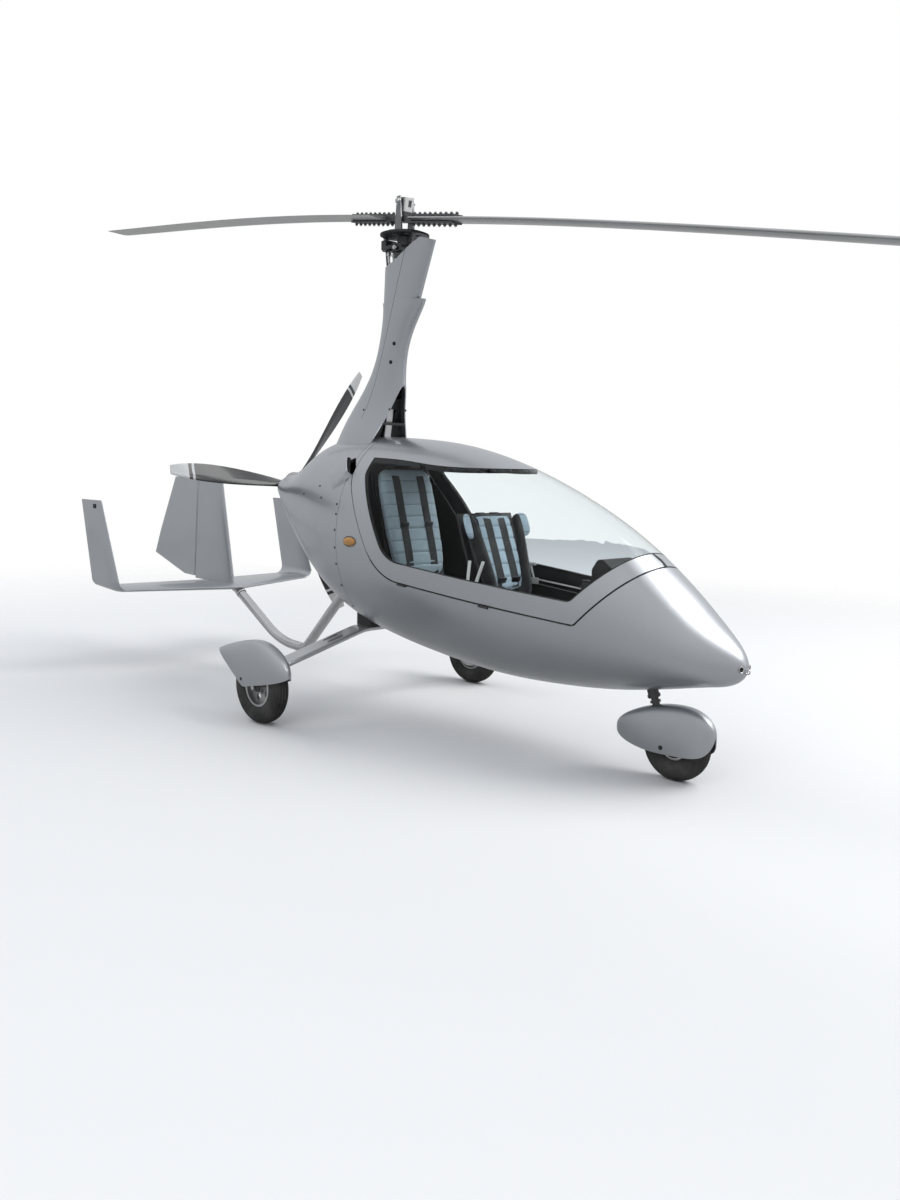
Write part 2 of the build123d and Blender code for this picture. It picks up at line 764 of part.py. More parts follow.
with BuildPart() as tailplane:
    loft(
        sections=[
            wing_section(across_plane(-TAIL_SPAN, TAIL_Z), *CORNER_CHORD, 32),
            wing_section(across_plane(0, TAIL_Z), 1507, 2030, 50),
            wing_section(across_plane(TAIL_SPAN, TAIL_Z), *CORNER_CHORD, 32),
        ],
        ruled=True,
    )
    add(boom_form.part, mode=Mode.SUBTRACT)

# Each tip fin turns up from the tailplane's end in a round corner
with BuildPart() as tip_fins:
    for side in (-1, 1):
        bend = Axis((side * TAIL_SPAN, 0, TAIL_Z + FIN_BEND), (0, -side, 0))
        corner = wing_section(across_plane(side * TAIL_SPAN, TAIL_Z), *CORNER_CHORD, 32)
        revolve(corner, axis=bend, revolution_arc=90)
        fin_x = side * (TAIL_SPAN + FIN_BEND)
        fin_foot = wing_section(upright_plane(fin_x, TAIL_Z + FIN_BEND), *CORNER_CHORD, 32)
        fin_head = wing_section(upright_plane(fin_x, FIN_TOP), 1958, 2224, 22)
        loft(sections=[fin_foot, fin_head])


def hinge_y(z):
    return HINGE_FOOT[1] - HINGE_LEAN * (z - HINGE_FOOT[2])


with BuildPart() as centre_fin:
    loft(
        sections=[
            wing_section(upright_plane(0, 530), 1612, hinge_y(530) - RUDDER_NOSE - 6, 50, 44),
            wing_section(upright_plane(0, RUDDER_TOP), 1747, hinge_y(RUDDER_TOP) - RUDDER_NOSE - 6, 40, 40),
        ]
    )
    add(tailplane.part, mode=Mode.SUBTRACT)
    add(boom_form.part, mode=Mode.SUBTRACT)


def rudder_section(z, trail):
    """Rudder section: a round nose on the hinge line, tapering to the trailing edge."""
    middle = hinge_y(z)
    with BuildSketch(upright_plane(0, z)) as section:
        with BuildLine():
            CenterArc((middle, 0), RUDDER_NOSE, 90, 180)
            Polyline((middle, -RUDDER_NOSE), (trail, -2), (trail, 2), (middle, RUDDER_NOSE))
        make_face()
    return section.sketch


with BuildPart() as rudder:
    loft(
        sections=[
            rudder_section(545, 2230),
            rudder_section(667, 2625),
            rudder_section(829, 2550),
            rudder_section(RUDDER_TOP, 2336),
        ],
        ruled=True,
    )

# Cabin fittings: seats, pads, panel, sticks, levers and pedals


FRONT_SEAT = ((-1190, 655), (-815, 600), (-628, 1110))
REAR_SEAT = ((-560, 660), (-190, 610), (15, 1325))

with BuildPart() as seat_shells:
    for (front_edge, hip, head) in (FRONT_SEAT, REAR_SEAT):
        with BuildSketch(Plane.YZ):
            with BuildLine():
                FilletPolyline(front_edge, hip, head, radius=[70])
            trace(line_width=14)
        extrude(amount=200, both=True)
        with BuildSketch(Plane.YZ):
            with BuildLine():
                Polyline(
                    (front_edge[0] + 40, 452), (hip[0] - 40, 452), (hip[0] - 40, hip[1] + 2),
                    (front_edge[0] + 40, front_edge[1] - 8), close=True,
                )
            make_face()
        extrude(amount=182, both=True)
        with BuildSketch(Plane.YZ):
            with BuildLine():
                Polyline(
                    (front_edge[0] + 20, 440), (hip[0] - 20, 440), (hip[0] - 20, hip[1] - 18),
                    (front_edge[0] + 20, front_edge[1] - 28), close=True,
                )
            make_face()
        extrude(amount=172, both=True, mode=Mode.SUBTRACT)
    add(cabin_form.part, mode=Mode.INTERSECT)

# A seat pad and a back pad lie on each shell
with BuildPart() as seat_pads:
    for (front_edge, hip, head) in (FRONT_SEAT, REAR_SEAT):
        for start, gap, up in ((front_edge, 75, Vector(0, 0, 1)), (head, 130, Vector(0, -1, 0))):
            run = Vector(0, hip[0] - start[0], hip[1] - start[1])
            along_run = run.normalized()
            normal = (up - along_run * up.dot(along_run)).normalized()
            length = run.length - gap
            origin = Vector(0, *start) + along_run * (length / 2 + 5) + normal * 8
            with BuildSketch(Plane(origin=origin, x_dir=(1, 0, 0), z_dir=normal)):
                RectangleRounded(360, length, 40)
            extrude(amount=46)
    add(seat_shells.part, mode=Mode.SUBTRACT)
    add(cabin_form.part, mode=Mode.INTERSECT)

with BuildPart() as instrument_panel:
    with BuildSketch(Plane.YZ):
        with BuildLine():
            FilletPolyline((-1500, 452), (-1420, 452), (-1400, 900), (-1440, 960), (-1560, 880),
                           radius=[0, 30, 30, 30, 30], close=True)
        make_face()
    extrude(amount=110, both=True)
    add(cabin_form.part, mode=Mode.INTERSECT)

with BuildPart() as cabin_controls:
    for y in (-1290, -640):
        with BuildSketch(Plane.XY.offset(522)):
            with Locations((0, y)):
                Circle(10)
        extrude(amount=240)
        with BuildSketch(Plane.XY.offset(720)):
            with Locations((0, y)):
                Circle(17)
        extrude(amount=110)
    with BuildSketch(Plane.YZ.offset(225)):
        with Locations((-1080, 640)):
            RectangleRounded(190, 60, 20)
    extrude(amount=40)
    with BuildSketch(Plane.YZ.offset(238)):
        with Locations((-1100, 700)):
            Rectangle(14, 110)
    extrude(amount=14)
    with BuildSketch(Plane.XZ.offset(1660)):
        with Locations((-95, 540), (95, 540)):
            RectangleRounded(80, 120, 10)
    extrude(amount=8)
    with BuildSketch(Plane.XZ.offset(1620)):
        with Locations((-95, 495), (95, 495)):
            Rectangle(14, 86)
    extrude(amount=40)

# Lamps

with BuildPart() as side_lamps:
    for side in (-1, 1):
        with BuildSketch(Plane.YZ.offset(side * 360)):
            with Locations((-45, 941)):
                Ellipse(30, 20)
        extrude(amount=side * 45)
    add(hull_form.part, mode=Mode.SUBTRACT)

# Canopy hinges: barrels on the starboard sill

hinge_axis = Vector(*HINGE_REAR) - Vector(*HINGE_FRONT)

with BuildPart() as canopy_hinges:
    for point in (HINGE_FRONT, HINGE_REAR):
        start = Vector(*point) - hinge_axis.normalized() * 30
        with BuildSketch(Plane(origin=start, x_dir=(1, 0, 0), z_dir=hinge_axis)):
            Circle(5)
        extrude(amount=60)
    add(hull_form.part, mode=Mode.SUBTRACT)

PIECES = {
    "fuselage_tub": fuselage_tub,
    "engine_cowling": engine_cowling,
    "firewall": firewall,
    "cabin_floor": cabin_floor,
    "canopy_frame": canopy_frame,
    "canopy_glass": canopy_glass,
    "canopy_hinges": canopy_hinges,
    "engine_block": engine_block,
    "gearbox": gearbox,
    "engine_mount": engine_mount,
    "mast_tube": mast_tube,
    "mast_fairing": mast_fairing,
    "intake_screen": intake_screen,
    "rotor_head": rotor_head,
    "prerotator": prerotator,
    "control_rods": control_rods,
    "ring_gear": ring_gear,
    "rotor_tower": rotor_tower,
    "hub_bar": hub_bar,
    "blade_pair": blade_pair,
    "propeller_hub": propeller_hub,
    "propeller_blades": propeller_blades,
    "tail_boom": tail_boom,
    "tailplane": tailplane,
    "tip_fins": tip_fins,
    "centre_fin": centre_fin,
    "rudder": rudder,
    "gear_bow": gear_bow,
    "gear_saddle": gear_saddle,
    "main_axles": main_axles,
    "main_tyre_right": main_tyre_right,
    "main_tyre_left": main_tyre_left,
    "main_rim_right": main_rim_right,
    "main_rim_left": main_rim_left,
    "main_spats": main_spats,
    "nose_leg_sleeve": nose_leg_sleeve,
    "nose_fork": nose_fork,
    "nose_spat": nose_spat,
    "nose_tyre": nose_tyre,
    "nose_rim": nose_rim,
    "seat_shells": seat_shells,
    "seat_pads": seat_pads,
    "instrument_panel": instrument_panel,
    "cabin_controls": cabin_controls,
    "side_lamps": side_lamps,
}

for name, piece in PIECES.items():
    piece.part.label = name
    export_step(piece.part, f"parts/{name}.step")
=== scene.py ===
# %% [markdown]
# # Dressing an enclosed two-seat gyroplane
#
# A gyroplane hangs from a rotor that turns freely in the air, and a propeller at its back
# pushes it along. The shapes come from a CAD model that is already packed, and this lesson
# gives them their finishes: silver paint, clear glazing, quilted seats, rubber and steel.
# Every length is in metres. Z is up, the nose points along -Y, and port is +X.

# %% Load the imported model
import math

import bmesh
import bpy
from mathutils import Matrix, Vector


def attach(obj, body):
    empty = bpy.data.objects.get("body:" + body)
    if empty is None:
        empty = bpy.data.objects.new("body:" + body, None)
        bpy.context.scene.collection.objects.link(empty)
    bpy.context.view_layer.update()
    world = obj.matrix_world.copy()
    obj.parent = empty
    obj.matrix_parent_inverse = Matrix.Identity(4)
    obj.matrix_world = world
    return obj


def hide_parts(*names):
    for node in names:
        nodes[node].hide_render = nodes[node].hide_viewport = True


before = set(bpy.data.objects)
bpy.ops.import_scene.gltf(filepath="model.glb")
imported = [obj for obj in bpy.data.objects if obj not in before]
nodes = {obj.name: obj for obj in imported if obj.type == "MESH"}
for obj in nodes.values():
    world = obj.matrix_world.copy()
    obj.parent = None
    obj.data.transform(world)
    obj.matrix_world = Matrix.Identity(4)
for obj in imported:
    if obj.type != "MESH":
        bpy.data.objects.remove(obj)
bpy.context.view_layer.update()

# %% [markdown]
# ## Camera
#
# The photograph was taken at eye height, off the starboard side of the nose. The camera's
# place was worked out from the known sizes of the rotor, the propeller and the track of the
# wheels. The lens is given for the long side of an upright picture.

# %% Place the camera
camera_data = bpy.data.cameras.new("photo_camera")
camera_data.sensor_fit = "AUTO"
camera_data.sensor_width = 36.0
camera_data.lens = 30.776
camera_data.clip_end = 200
camera = bpy.data.objects.new("photo_camera", camera_data)
camera.location = (-3.838, -4.166, 1.353)
camera.rotation_euler = [math.radians(a) for a in (82.4717, -1.4147, -45.3861)]
bpy.context.scene.collection.objects.link(camera)
bpy.context.scene.camera = camera
print("camera at", tuple(camera.location))

# %% [markdown]
# ## Axles
#
# The wheels, the propeller and the rotor each turn about an axle, and nuts, rings and
# fairings are set out from the same places. They are those of the CAD model, named once.

# %% Name the axles
MAIN_AXLE = Vector((0.797, 0.162, 0.192))
NOSE_AXLE = Vector((0.0, -1.820, 0.160))
PROPELLER_AXLE = Vector((0.0, 0.934, 1.205))
TEETER = Vector((0.0, 0.0, 2.722))
ROTOR_TURN = math.radians(-8.1)
ROTOR_TILT = math.radians(9.5)
SIDES = {-1: "right", 1: "left"}


def main_hub(side):
    """The middle of a main wheel: side is 1 to port and -1 to starboard."""
    return Vector((side * MAIN_AXLE.x, MAIN_AXLE.y, MAIN_AXLE.z))


print("main hubs:", tuple(main_hub(1)), tuple(main_hub(-1)), "nose axle:", tuple(NOSE_AXLE))

# %% [markdown]
# ## Working tools
#
# A few short helpers keep the later cells readable. Operators act on whatever is selected,
# so each piece starts by clearing the selection, and each finished piece has its place
# baked into its mesh so that its own object stays at the origin.


# %% Helpers for pieces
def fresh():
    """Leave edit mode and clear the selection before a new piece."""
    if bpy.context.object and bpy.context.object.mode != "OBJECT":
        bpy.ops.object.mode_set(mode="OBJECT")
    bpy.ops.object.select_all(action="DESELECT")


def named(name):
    """Name the primitive that was just added."""
    piece = bpy.context.active_object
    piece.name = name
    piece.data.name = name
    return piece


def only(piece):
    """Make one piece the selected and active object."""
    fresh()
    piece.select_set(True)
    bpy.context.view_layer.objects.active = piece


def pick_faces(piece, test):
    """In edit mode, select only the faces that pass a test on place and normal."""
    bpy.ops.mesh.select_mode(type="FACE")
    bpy.ops.mesh.select_all(action="DESELECT")
    mesh = bmesh.from_edit_mesh(piece.data)
    for face in mesh.faces:
        face.select_set(test(face.calc_center_median(), face.normal))
    mesh.select_flush_mode()
    bmesh.update_edit_mesh(piece.data)


def apply_modifier(piece, kind, **settings):
    """Add a modifier with its settings and apply it."""
    only(piece)
    modifier = piece.modifiers.new(kind.lower(), kind)
    for key, value in settings.items():
        setattr(modifier, key, value)
    bpy.ops.object.modifier_apply(modifier=modifier.name)
    return piece


def settle(piece, angle=35):
    """Bake a piece's place into its mesh and smooth what is meant to be round."""
    only(piece)
    bpy.ops.object.transform_apply(location=True, rotation=True, scale=True)
    bpy.ops.object.shade_smooth_by_angle(angle=math.radians(angle))
    return piece


def fit(piece, body, material):
    """Give a finished piece its material and let it ride on a body."""
    piece.data.materials.clear()
    piece.data.materials.append(material)
    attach(piece, body)
    print(piece.name, "faces", len(piece.data.polygons))
    return piece


def joined(name, pieces):
    """Join like pieces into one."""
    fresh()
    for piece in pieces:
        piece.select_set(True)
    bpy.context.view_layer.objects.active = pieces[0]
    bpy.ops.object.join()
    return named(name)


def twin(piece):
    """A copy with its own mesh."""
    other = piece.copy()
    other.data = piece.data.copy()
    bpy.context.scene.collection.objects.link(other)
    return other


def node_copy(node, name):
    """A merged copy of a CAD node's mesh, to cut a fitted piece from."""
    mesh = nodes[node].data.copy()
    mesh.name = name
    piece = bpy.data.objects.new(name, mesh)
    bpy.context.scene.collection.objects.link(piece)
    only(piece)
    bpy.ops.object.mode_set(mode="EDIT")
    bpy.ops.mesh.select_all(action="SELECT")
    bpy.ops.mesh.remove_doubles(threshold=0.00002)
    bpy.ops.object.mode_set(mode="OBJECT")
    return piece


# %% [markdown]
# ## Effects that several finishes share
#
# Paint, rubber, steel and cloth all show the same few effects: small flakes or grain, soft
# dirt that gathers low down, long scratches along a tube, and a woven surface. Each is a
# shader group that is built once. A group only gives out masks and heights that change over
# the surface, and every material mixes them in its own way.


# %% Helpers for materials
def group(name, inputs, outputs):
    """An empty shader group with number or vector sockets."""
    tree = bpy.data.node_groups.new(name, "ShaderNodeTree")
    for label, kind, default in inputs:
        socket = tree.interface.new_socket(name=label, in_out="INPUT", socket_type=kind)
        if default is not None:
            socket.default_value = default
    for label in outputs:
        tree.interface.new_socket(name=label, in_out="OUTPUT", socket_type="NodeSocketFloat")
    start = tree.nodes.new("NodeGroupInput")
    end = tree.nodes.new("NodeGroupOutput")
    return tree, start, end


def put(tree, kind, inputs=None, **settings):
    """Add a node, set its options, and fill or connect its inputs."""
    item = tree.nodes.new(kind)
    for key, value in settings.items():
        setattr(item, key, value)
    for key, value in (inputs or {}).items():
        if isinstance(value, bpy.types.NodeSocket):
            tree.links.new(value, item.inputs[key])
        else:
            item.inputs[key].default_value = value
    return item


def maths(tree, operation, first, second=0.0, clamp=False):
    """One arithmetic node; gives its result."""
    return put(
        tree, "ShaderNodeMath", {0: first, 1: second}, operation=operation, use_clamp=clamp
    ).outputs[0]


def scaled(tree, value, amount, base=0.0):
    """A value times an amount, on top of a base level."""
    return maths(tree, "ADD", maths(tree, "MULTIPLY", value, amount), base)


def within(tree, value, middle, half_width):
    """1 where a value lies within half a width of a middle, else 0."""
    distance = maths(tree, "ABSOLUTE", maths(tree, "SUBTRACT", value, middle))
    return maths(tree, "LESS_THAN", distance, half_width)


def noise(tree, vector, scale, detail, roughness=0.5):
    """Soft cloudy noise at a scale."""
    inputs = {"Vector": vector, "Scale": scale, "Detail": detail, "Roughness": roughness}
    return put(tree, "ShaderNodeTexNoise", inputs).outputs["Fac"]


def ramp(tree, factor, stops):
    """A colour ramp; stops are a place and a colour."""
    item = put(tree, "ShaderNodeValToRGB", {"Fac": factor})
    items = item.color_ramp.elements
    while len(items) > 1:
        items.remove(items[-1])
    for index, (place, colour) in enumerate(stops):
        element = items[0] if index == 0 else items.new(place)
        element.position = place
        element.color = (*colour, 1)
    return item.outputs["Color"]


NUMBER = "NodeSocketFloat"
VECTOR = "NodeSocketVector"

# %% Flakes: tiny even grain, as in metallic paint and moulded plastic
flakes, start, end = group(
    "Fine_grain", [("Vector", VECTOR, None), ("Scale", NUMBER, 700.0)], ["Height", "Spread"]
)
fine = noise(flakes, start.outputs["Vector"], start.outputs["Scale"], 2.0)
wide = noise(flakes, start.outputs["Vector"], 2.2, 4.0)
flakes.links.new(fine, end.inputs["Height"])
flakes.links.new(wide, end.inputs["Spread"])
print("group:", flakes.name)

# %% Dirt: soft dust, thicker towards the ground
dirt, start, end = group(
    "Low_dust", [("Vector", VECTOR, None), ("Scale", NUMBER, 6.0), ("Height", NUMBER, 0.6)], ["Mask"]
)
parts = put(dirt, "ShaderNodeSeparateXYZ", {"Vector": start.outputs["Vector"]})
share = maths(dirt, "DIVIDE", parts.outputs["Z"], start.outputs["Height"])
low = maths(dirt, "SUBTRACT", 1.0, share, clamp=True)
cloud = noise(dirt, start.outputs["Vector"], start.outputs["Scale"], 8.0, 0.65)
patch = maths(dirt, "MULTIPLY", maths(dirt, "SUBTRACT", cloud, 0.35, clamp=True), 2.4)
fleck = scaled(dirt, noise(dirt, start.outputs["Vector"], 90.0, 3.0), 0.5, 0.75)
mask = maths(dirt, "MULTIPLY", maths(dirt, "MULTIPLY", patch, low), fleck, clamp=True)
dirt.links.new(mask, end.inputs["Mask"])
print("group:", dirt.name)

# %% Scratches: long fine lines, as on polished tube and plate
scratches, start, end = group(
    "Long_scratches", [("Vector", VECTOR, None), ("Scale", NUMBER, 12.0)], ["Height"]
)
drawn_out = put(
    scratches, "ShaderNodeMapping", {"Vector": start.outputs["Vector"], "Scale": (1.0, 9.0, 9.0)}
)
lines = noise(scratches, drawn_out.outputs["Vector"], start.outputs["Scale"], 6.0, 0.7)
scratches.links.new(lines, end.inputs["Height"])
print("group:", scratches.name)

# %% Weave: crossing threads for cloth and webbing
weave, start, end = group(
    "Cloth_weave", [("Vector", VECTOR, None), ("Scale", NUMBER, 600.0)], ["Height", "Shade"]
)
parts = put(weave, "ShaderNodeSeparateXYZ", {"Vector": start.outputs["Vector"]})
across = maths(weave, "SINE", maths(weave, "MULTIPLY", parts.outputs["X"], start.outputs["Scale"]))
depth = maths(weave, "ADD", parts.outputs["Y"], parts.outputs["Z"])
along = maths(weave, "SINE", maths(weave, "MULTIPLY", depth, start.outputs["Scale"]))
height = maths(weave, "ADD", maths(weave, "MULTIPLY", across, along), 1.0)
weave.links.new(maths(weave, "MULTIPLY", height, 0.5), end.inputs["Height"])
weave.links.new(noise(weave, start.outputs["Vector"], 25.0, 5.0), end.inputs["Shade"])
print("shader groups:", len(bpy.data.node_groups))


# %% [markdown]
# ## Materials
#
# Each finish starts from one Principled shader. Numbers that are the same all over, such as
# how metallic it is or how thick its clear coat, are set on the shader's own sockets. Only
# what changes over the surface arrives through nodes.


# %% Start a material
def finish(name, **sockets):
    """A material with one Principled shader and a point on the surface to work from."""
    material = bpy.data.materials.new(name)
    material.use_nodes = True
    tree = material.node_tree
    shader = tree.nodes["Principled BSDF"]
    for key, value in sockets.items():
        shader.inputs[key.replace("_", " ")].default_value = value
    place = put(tree, "ShaderNodeTexCoord").outputs["Object"]
    return material, tree, shader, place


def use(tree, tool, **inputs):
    """Place a shared group in a material."""
    return put(tree, "ShaderNodeGroup", inputs, node_tree=tool)


def blend_colour(tree, factor, first, second):
    """Mix two colours or sockets by a mask."""
    item = tree.nodes.new("ShaderNodeMix")
    item.data_type = "RGBA"
    tree.links.new(factor, item.inputs[0])
    for index, value in ((6, first), (7, second)):
        if isinstance(value, bpy.types.NodeSocket):
            tree.links.new(value, item.inputs[index])
        else:
            item.inputs[index].default_value = (*value, 1)
    return item.outputs[2]


def toned(colour, share):
    """A colour made darker or lighter by a share."""
    return tuple(share * part for part in colour)


def surface(tree, shader, colour, roughness):
    """Feed the shader its colour and its roughness."""
    tree.links.new(colour, shader.inputs["Base Color"])
    tree.links.new(roughness, shader.inputs["Roughness"])


def relief(tree, shader, height, strength, distance):
    """Feed a height to the shader as fine relief."""
    inputs = {"Height": height, "Strength": strength, "Distance": distance}
    item = put(tree, "ShaderNodeBump", inputs)
    tree.links.new(item.outputs["Normal"], shader.inputs["Normal"])


# %% [markdown]
# ### Silver paint
#
# The hull, fairings and tail are a composite shell under a metallic silver coat. Its
# flakes are far smaller than a pixel, so they only soften the highlights a little. A faint
# film of dust lies on the lower surfaces. Where two panels butt together the paint shows a
# hairline, which is drawn at the joint's own place on the hull.


# %% Silver paint
SILVER = (0.465, 0.482, 0.505)
HAIRLINE = (0.05, 0.05, 0.055)
SLANT_HALF_WIDTH = 0.0016
SEAM_LEAN = -0.3246


def silver_paint(name, base, joints=(), slant=None, rough=0.36):
    """Metallic silver paint with hairlines where panels meet.

    A joint is an axis, a place on it and half a width. The slant is a leaning line in Y: its
    place at the ground, how far it moves for each metre of height, and where it stops.
    """
    material, tree, shader, place = finish(
        name, Metallic=0.88, Coat_Weight=0.45, Coat_Roughness=0.05, Specular_IOR_Level=0.5
    )
    grain = use(tree, flakes, Vector=place, Scale=850.0)
    dust = use(tree, dirt, Vector=place, Scale=5.0, Height=0.75).outputs["Mask"]
    shade = ramp(tree, grain.outputs["Spread"], [(0.3, toned(base, 0.94)), (0.7, base)])
    colour = blend_colour(tree, maths(tree, "MULTIPLY", dust, 0.30), shade, (0.42, 0.40, 0.37))
    parts = put(tree, "ShaderNodeSeparateXYZ", {"Vector": place})
    for axis, value, half_width in joints:
        line = within(tree, parts.outputs[axis], value, half_width)
        colour = blend_colour(tree, line, colour, HAIRLINE)
    if slant:
        at_ground, lean, lowest = slant
        middle = scaled(tree, parts.outputs["Z"], lean, at_ground)
        line = within(tree, parts.outputs["Y"], middle, SLANT_HALF_WIDTH)
        above = maths(tree, "GREATER_THAN", parts.outputs["Z"], lowest)
        colour = blend_colour(tree, maths(tree, "MULTIPLY", line, above), colour, HAIRLINE)
    film = maths(tree, "MULTIPLY", dust, 0.25)
    level = scaled(tree, grain.outputs["Spread"], 0.08, rough - 0.04)
    surface(tree, shader, colour, maths(tree, "ADD", film, level))
    relief(tree, shader, grain.outputs["Height"], 0.04, 0.0004)
    print("paint:", name)
    return material


hull_paint = silver_paint("hull_silver", SILVER, joints=[("Y", 0.085, 0.0012)])
panel_paint = silver_paint("panel_silver", SILVER)
bow_paint = silver_paint("bow_silver", (0.55, 0.56, 0.575), rough=0.32)
mast_paint = silver_paint("mast_silver", (0.43, 0.447, 0.47), slant=(0.7467, SEAM_LEAN, 1.592))

# %% [markdown]
# ### Glazing
#
# The canopy is blown clear acrylic. It has a real thickness here. Its refractive index is
# set lower than that of solid acrylic, so that both faces of the thin wall mirror only a
# little of the white studio and the cabin stays dark. Very faint wiping marks keep it from
# looking like empty air.

# %% Clear acrylic
glazing, tree, shader, place = finish(
    "clear_acrylic", Base_Color=(0.93, 0.96, 0.965, 1), Roughness=0.015, IOR=1.12,
    Specular_IOR_Level=0.1, Transmission_Weight=1.0,
)
marks = use(tree, scratches, Vector=place, Scale=6.0)
relief(tree, shader, marks.outputs["Height"], 0.012, 0.0003)


# %% [markdown]
# ### Metals
#
# The keel and mast are polished stainless tube, the hub is machined and bead-blasted
# aluminium, and the small fasteners are plain steel. Fine lines run along what was drawn or
# turned, and the fields between them differ a little in gloss.


# %% Steel and aluminium
def bare_metal(name, base, rough, line_depth, line_scale):
    """Bare metal with drawn or turned lines and a little dust."""
    material, tree, shader, place = finish(name, Metallic=1.0)
    marks = use(tree, scratches, Vector=place, Scale=line_scale).outputs["Height"]
    grain = use(tree, flakes, Vector=place, Scale=400.0).outputs["Height"]
    dust = use(tree, dirt, Vector=place, Scale=9.0, Height=0.7).outputs["Mask"]
    shade = ramp(tree, marks, [(0.3, toned(base, 0.86)), (0.75, base)])
    colour = blend_colour(tree, maths(tree, "MULTIPLY", dust, 0.25), shade, (0.30, 0.27, 0.24))
    level = scaled(tree, marks, 0.16, rough)
    surface(tree, shader, colour, maths(tree, "ADD", level, maths(tree, "MULTIPLY", dust, 0.2)))
    both = maths(tree, "ADD", maths(tree, "MULTIPLY", marks, 0.6), maths(tree, "MULTIPLY", grain, 0.4))
    relief(tree, shader, both, line_depth, 0.0006)
    print("metal:", name)
    return material


polished_steel = bare_metal("polished_steel", (0.62, 0.62, 0.63), 0.12, 0.05, 14.0)
blasted_alloy = bare_metal("blasted_alloy", (0.50, 0.50, 0.50), 0.34, 0.12, 30.0)
dark_steel = bare_metal("dark_steel", (0.09, 0.09, 0.095), 0.36, 0.12, 24.0)
bright_steel = bare_metal("bright_steel", (0.62, 0.62, 0.62), 0.22, 0.06, 30.0)
tower_alloy = bare_metal("tower_alloy", (0.26, 0.265, 0.27), 0.38, 0.08, 22.0)

# %% Hub bar: dark, with a pale block in the middle and painted shade for a pocket in its front
BLOCK_BOTTOM = 2.668
BLOCK_HALF_LENGTH = 0.060
POCKET_MIDDLE = 2.708
hub_finish, tree, shader, place = finish("hub_bar_finish", Metallic=0.75)
parts = put(tree, "ShaderNodeSeparateXYZ", {"Vector": place})
grain = use(tree, flakes, Vector=place, Scale=400.0)
marks = use(tree, scratches, Vector=place, Scale=24.0).outputs["Height"]
high = maths(tree, "GREATER_THAN", parts.outputs["Z"], BLOCK_BOTTOM)
inner = within(tree, parts.outputs["Y"], 0.0, BLOCK_HALF_LENGTH)
dark = ramp(tree, marks, [(0.3, (0.075, 0.078, 0.080)), (0.75, (0.12, 0.122, 0.125))])
pale = ramp(tree, grain.outputs["Spread"], [(0.3, (0.66, 0.66, 0.65)), (0.7, (0.74, 0.74, 0.73))])
# A small patch on the block's front keeps the dark bar colour: painted shade standing for a pocket.
narrow = within(tree, parts.outputs["X"], 0.0, 0.010)
level = within(tree, parts.outputs["Z"], POCKET_MIDDLE, 0.017)
ahead = maths(tree, "LESS_THAN", parts.outputs["Y"], -0.03)
pocket_shade = maths(tree, "MULTIPLY", maths(tree, "MULTIPLY", narrow, level), ahead)
block_mask = maths(tree, "MULTIPLY", high, inner)
block_mask = maths(tree, "MULTIPLY", block_mask, maths(tree, "SUBTRACT", 1.0, pocket_shade))
surface(tree, shader, blend_colour(tree, block_mask, dark, pale), scaled(tree, marks, 0.16, 0.32))
relief(tree, shader, grain.outputs["Height"], 0.1, 0.0006)
print("metal:", hub_finish.name)


# %% [markdown]
# ### Black parts
#
# Seat shells, floor, dash and grips are black composite or moulded plastic. It is never
# pure black: a fine grain catches the light, and dust shows on it more than on silver.


# %% Black plastics and rubber
def dark_plastic(name, base, rough, grain_scale, depth, dust_share=0.35):
    """Near-black plastic or rubber with a fine grain and some dust."""
    material, tree, shader, place = finish(name, Metallic=0.0, Specular_IOR_Level=0.45)
    grain = use(tree, flakes, Vector=place, Scale=grain_scale)
    dust = use(tree, dirt, Vector=place, Scale=11.0, Height=1.1).outputs["Mask"]
    shade = ramp(tree, grain.outputs["Spread"], [(0.3, base), (0.7, toned(base, 1.5))])
    cover = maths(tree, "MULTIPLY", dust, dust_share)
    colour = blend_colour(tree, cover, shade, (0.16, 0.15, 0.14))
    surface(tree, shader, colour, scaled(tree, grain.outputs["Spread"], 0.15, rough))
    relief(tree, shader, grain.outputs["Height"], depth, 0.0008)
    print("black:", name)
    return material


black_shell = dark_plastic("black_shell", (0.012, 0.012, 0.013), 0.42, 500.0, 0.15, dust_share=0.12)
black_liner = dark_plastic("black_liner", (0.010, 0.010, 0.011), 0.85, 1400.0, 0.02, dust_share=0.04)
black_rubber = dark_plastic("black_rubber", (0.014, 0.014, 0.014), 0.60, 700.0, 0.25)
tyre_rubber = dark_plastic("tyre_rubber", (0.018, 0.018, 0.018), 0.66, 900.0, 0.35, dust_share=0.6)

# %% [markdown]
# ### Rotor and propeller blades
#
# The rotor blades are extruded aluminium in a plain pale grey. Their undersides look darker
# only because they face the ground. The propeller is black, with a pale tip and a thin ring
# inside it, so that people see the disc when it turns. The rings are drawn by the distance
# from the propeller's own axle.

# %% Blade finishes
blade_metal, tree, shader, place = finish("blade_metal", Metallic=0.7, Coat_Weight=0.15)
grain = use(tree, flakes, Vector=place, Scale=300.0).outputs["Spread"]
marks = use(tree, scratches, Vector=place, Scale=5.0).outputs["Height"]
shade = ramp(tree, grain, [(0.25, (0.34, 0.35, 0.34)), (0.75, (0.42, 0.43, 0.42))])
surface(tree, shader, shade, scaled(tree, marks, 0.2, 0.28))
relief(tree, shader, marks, 0.06, 0.0006)

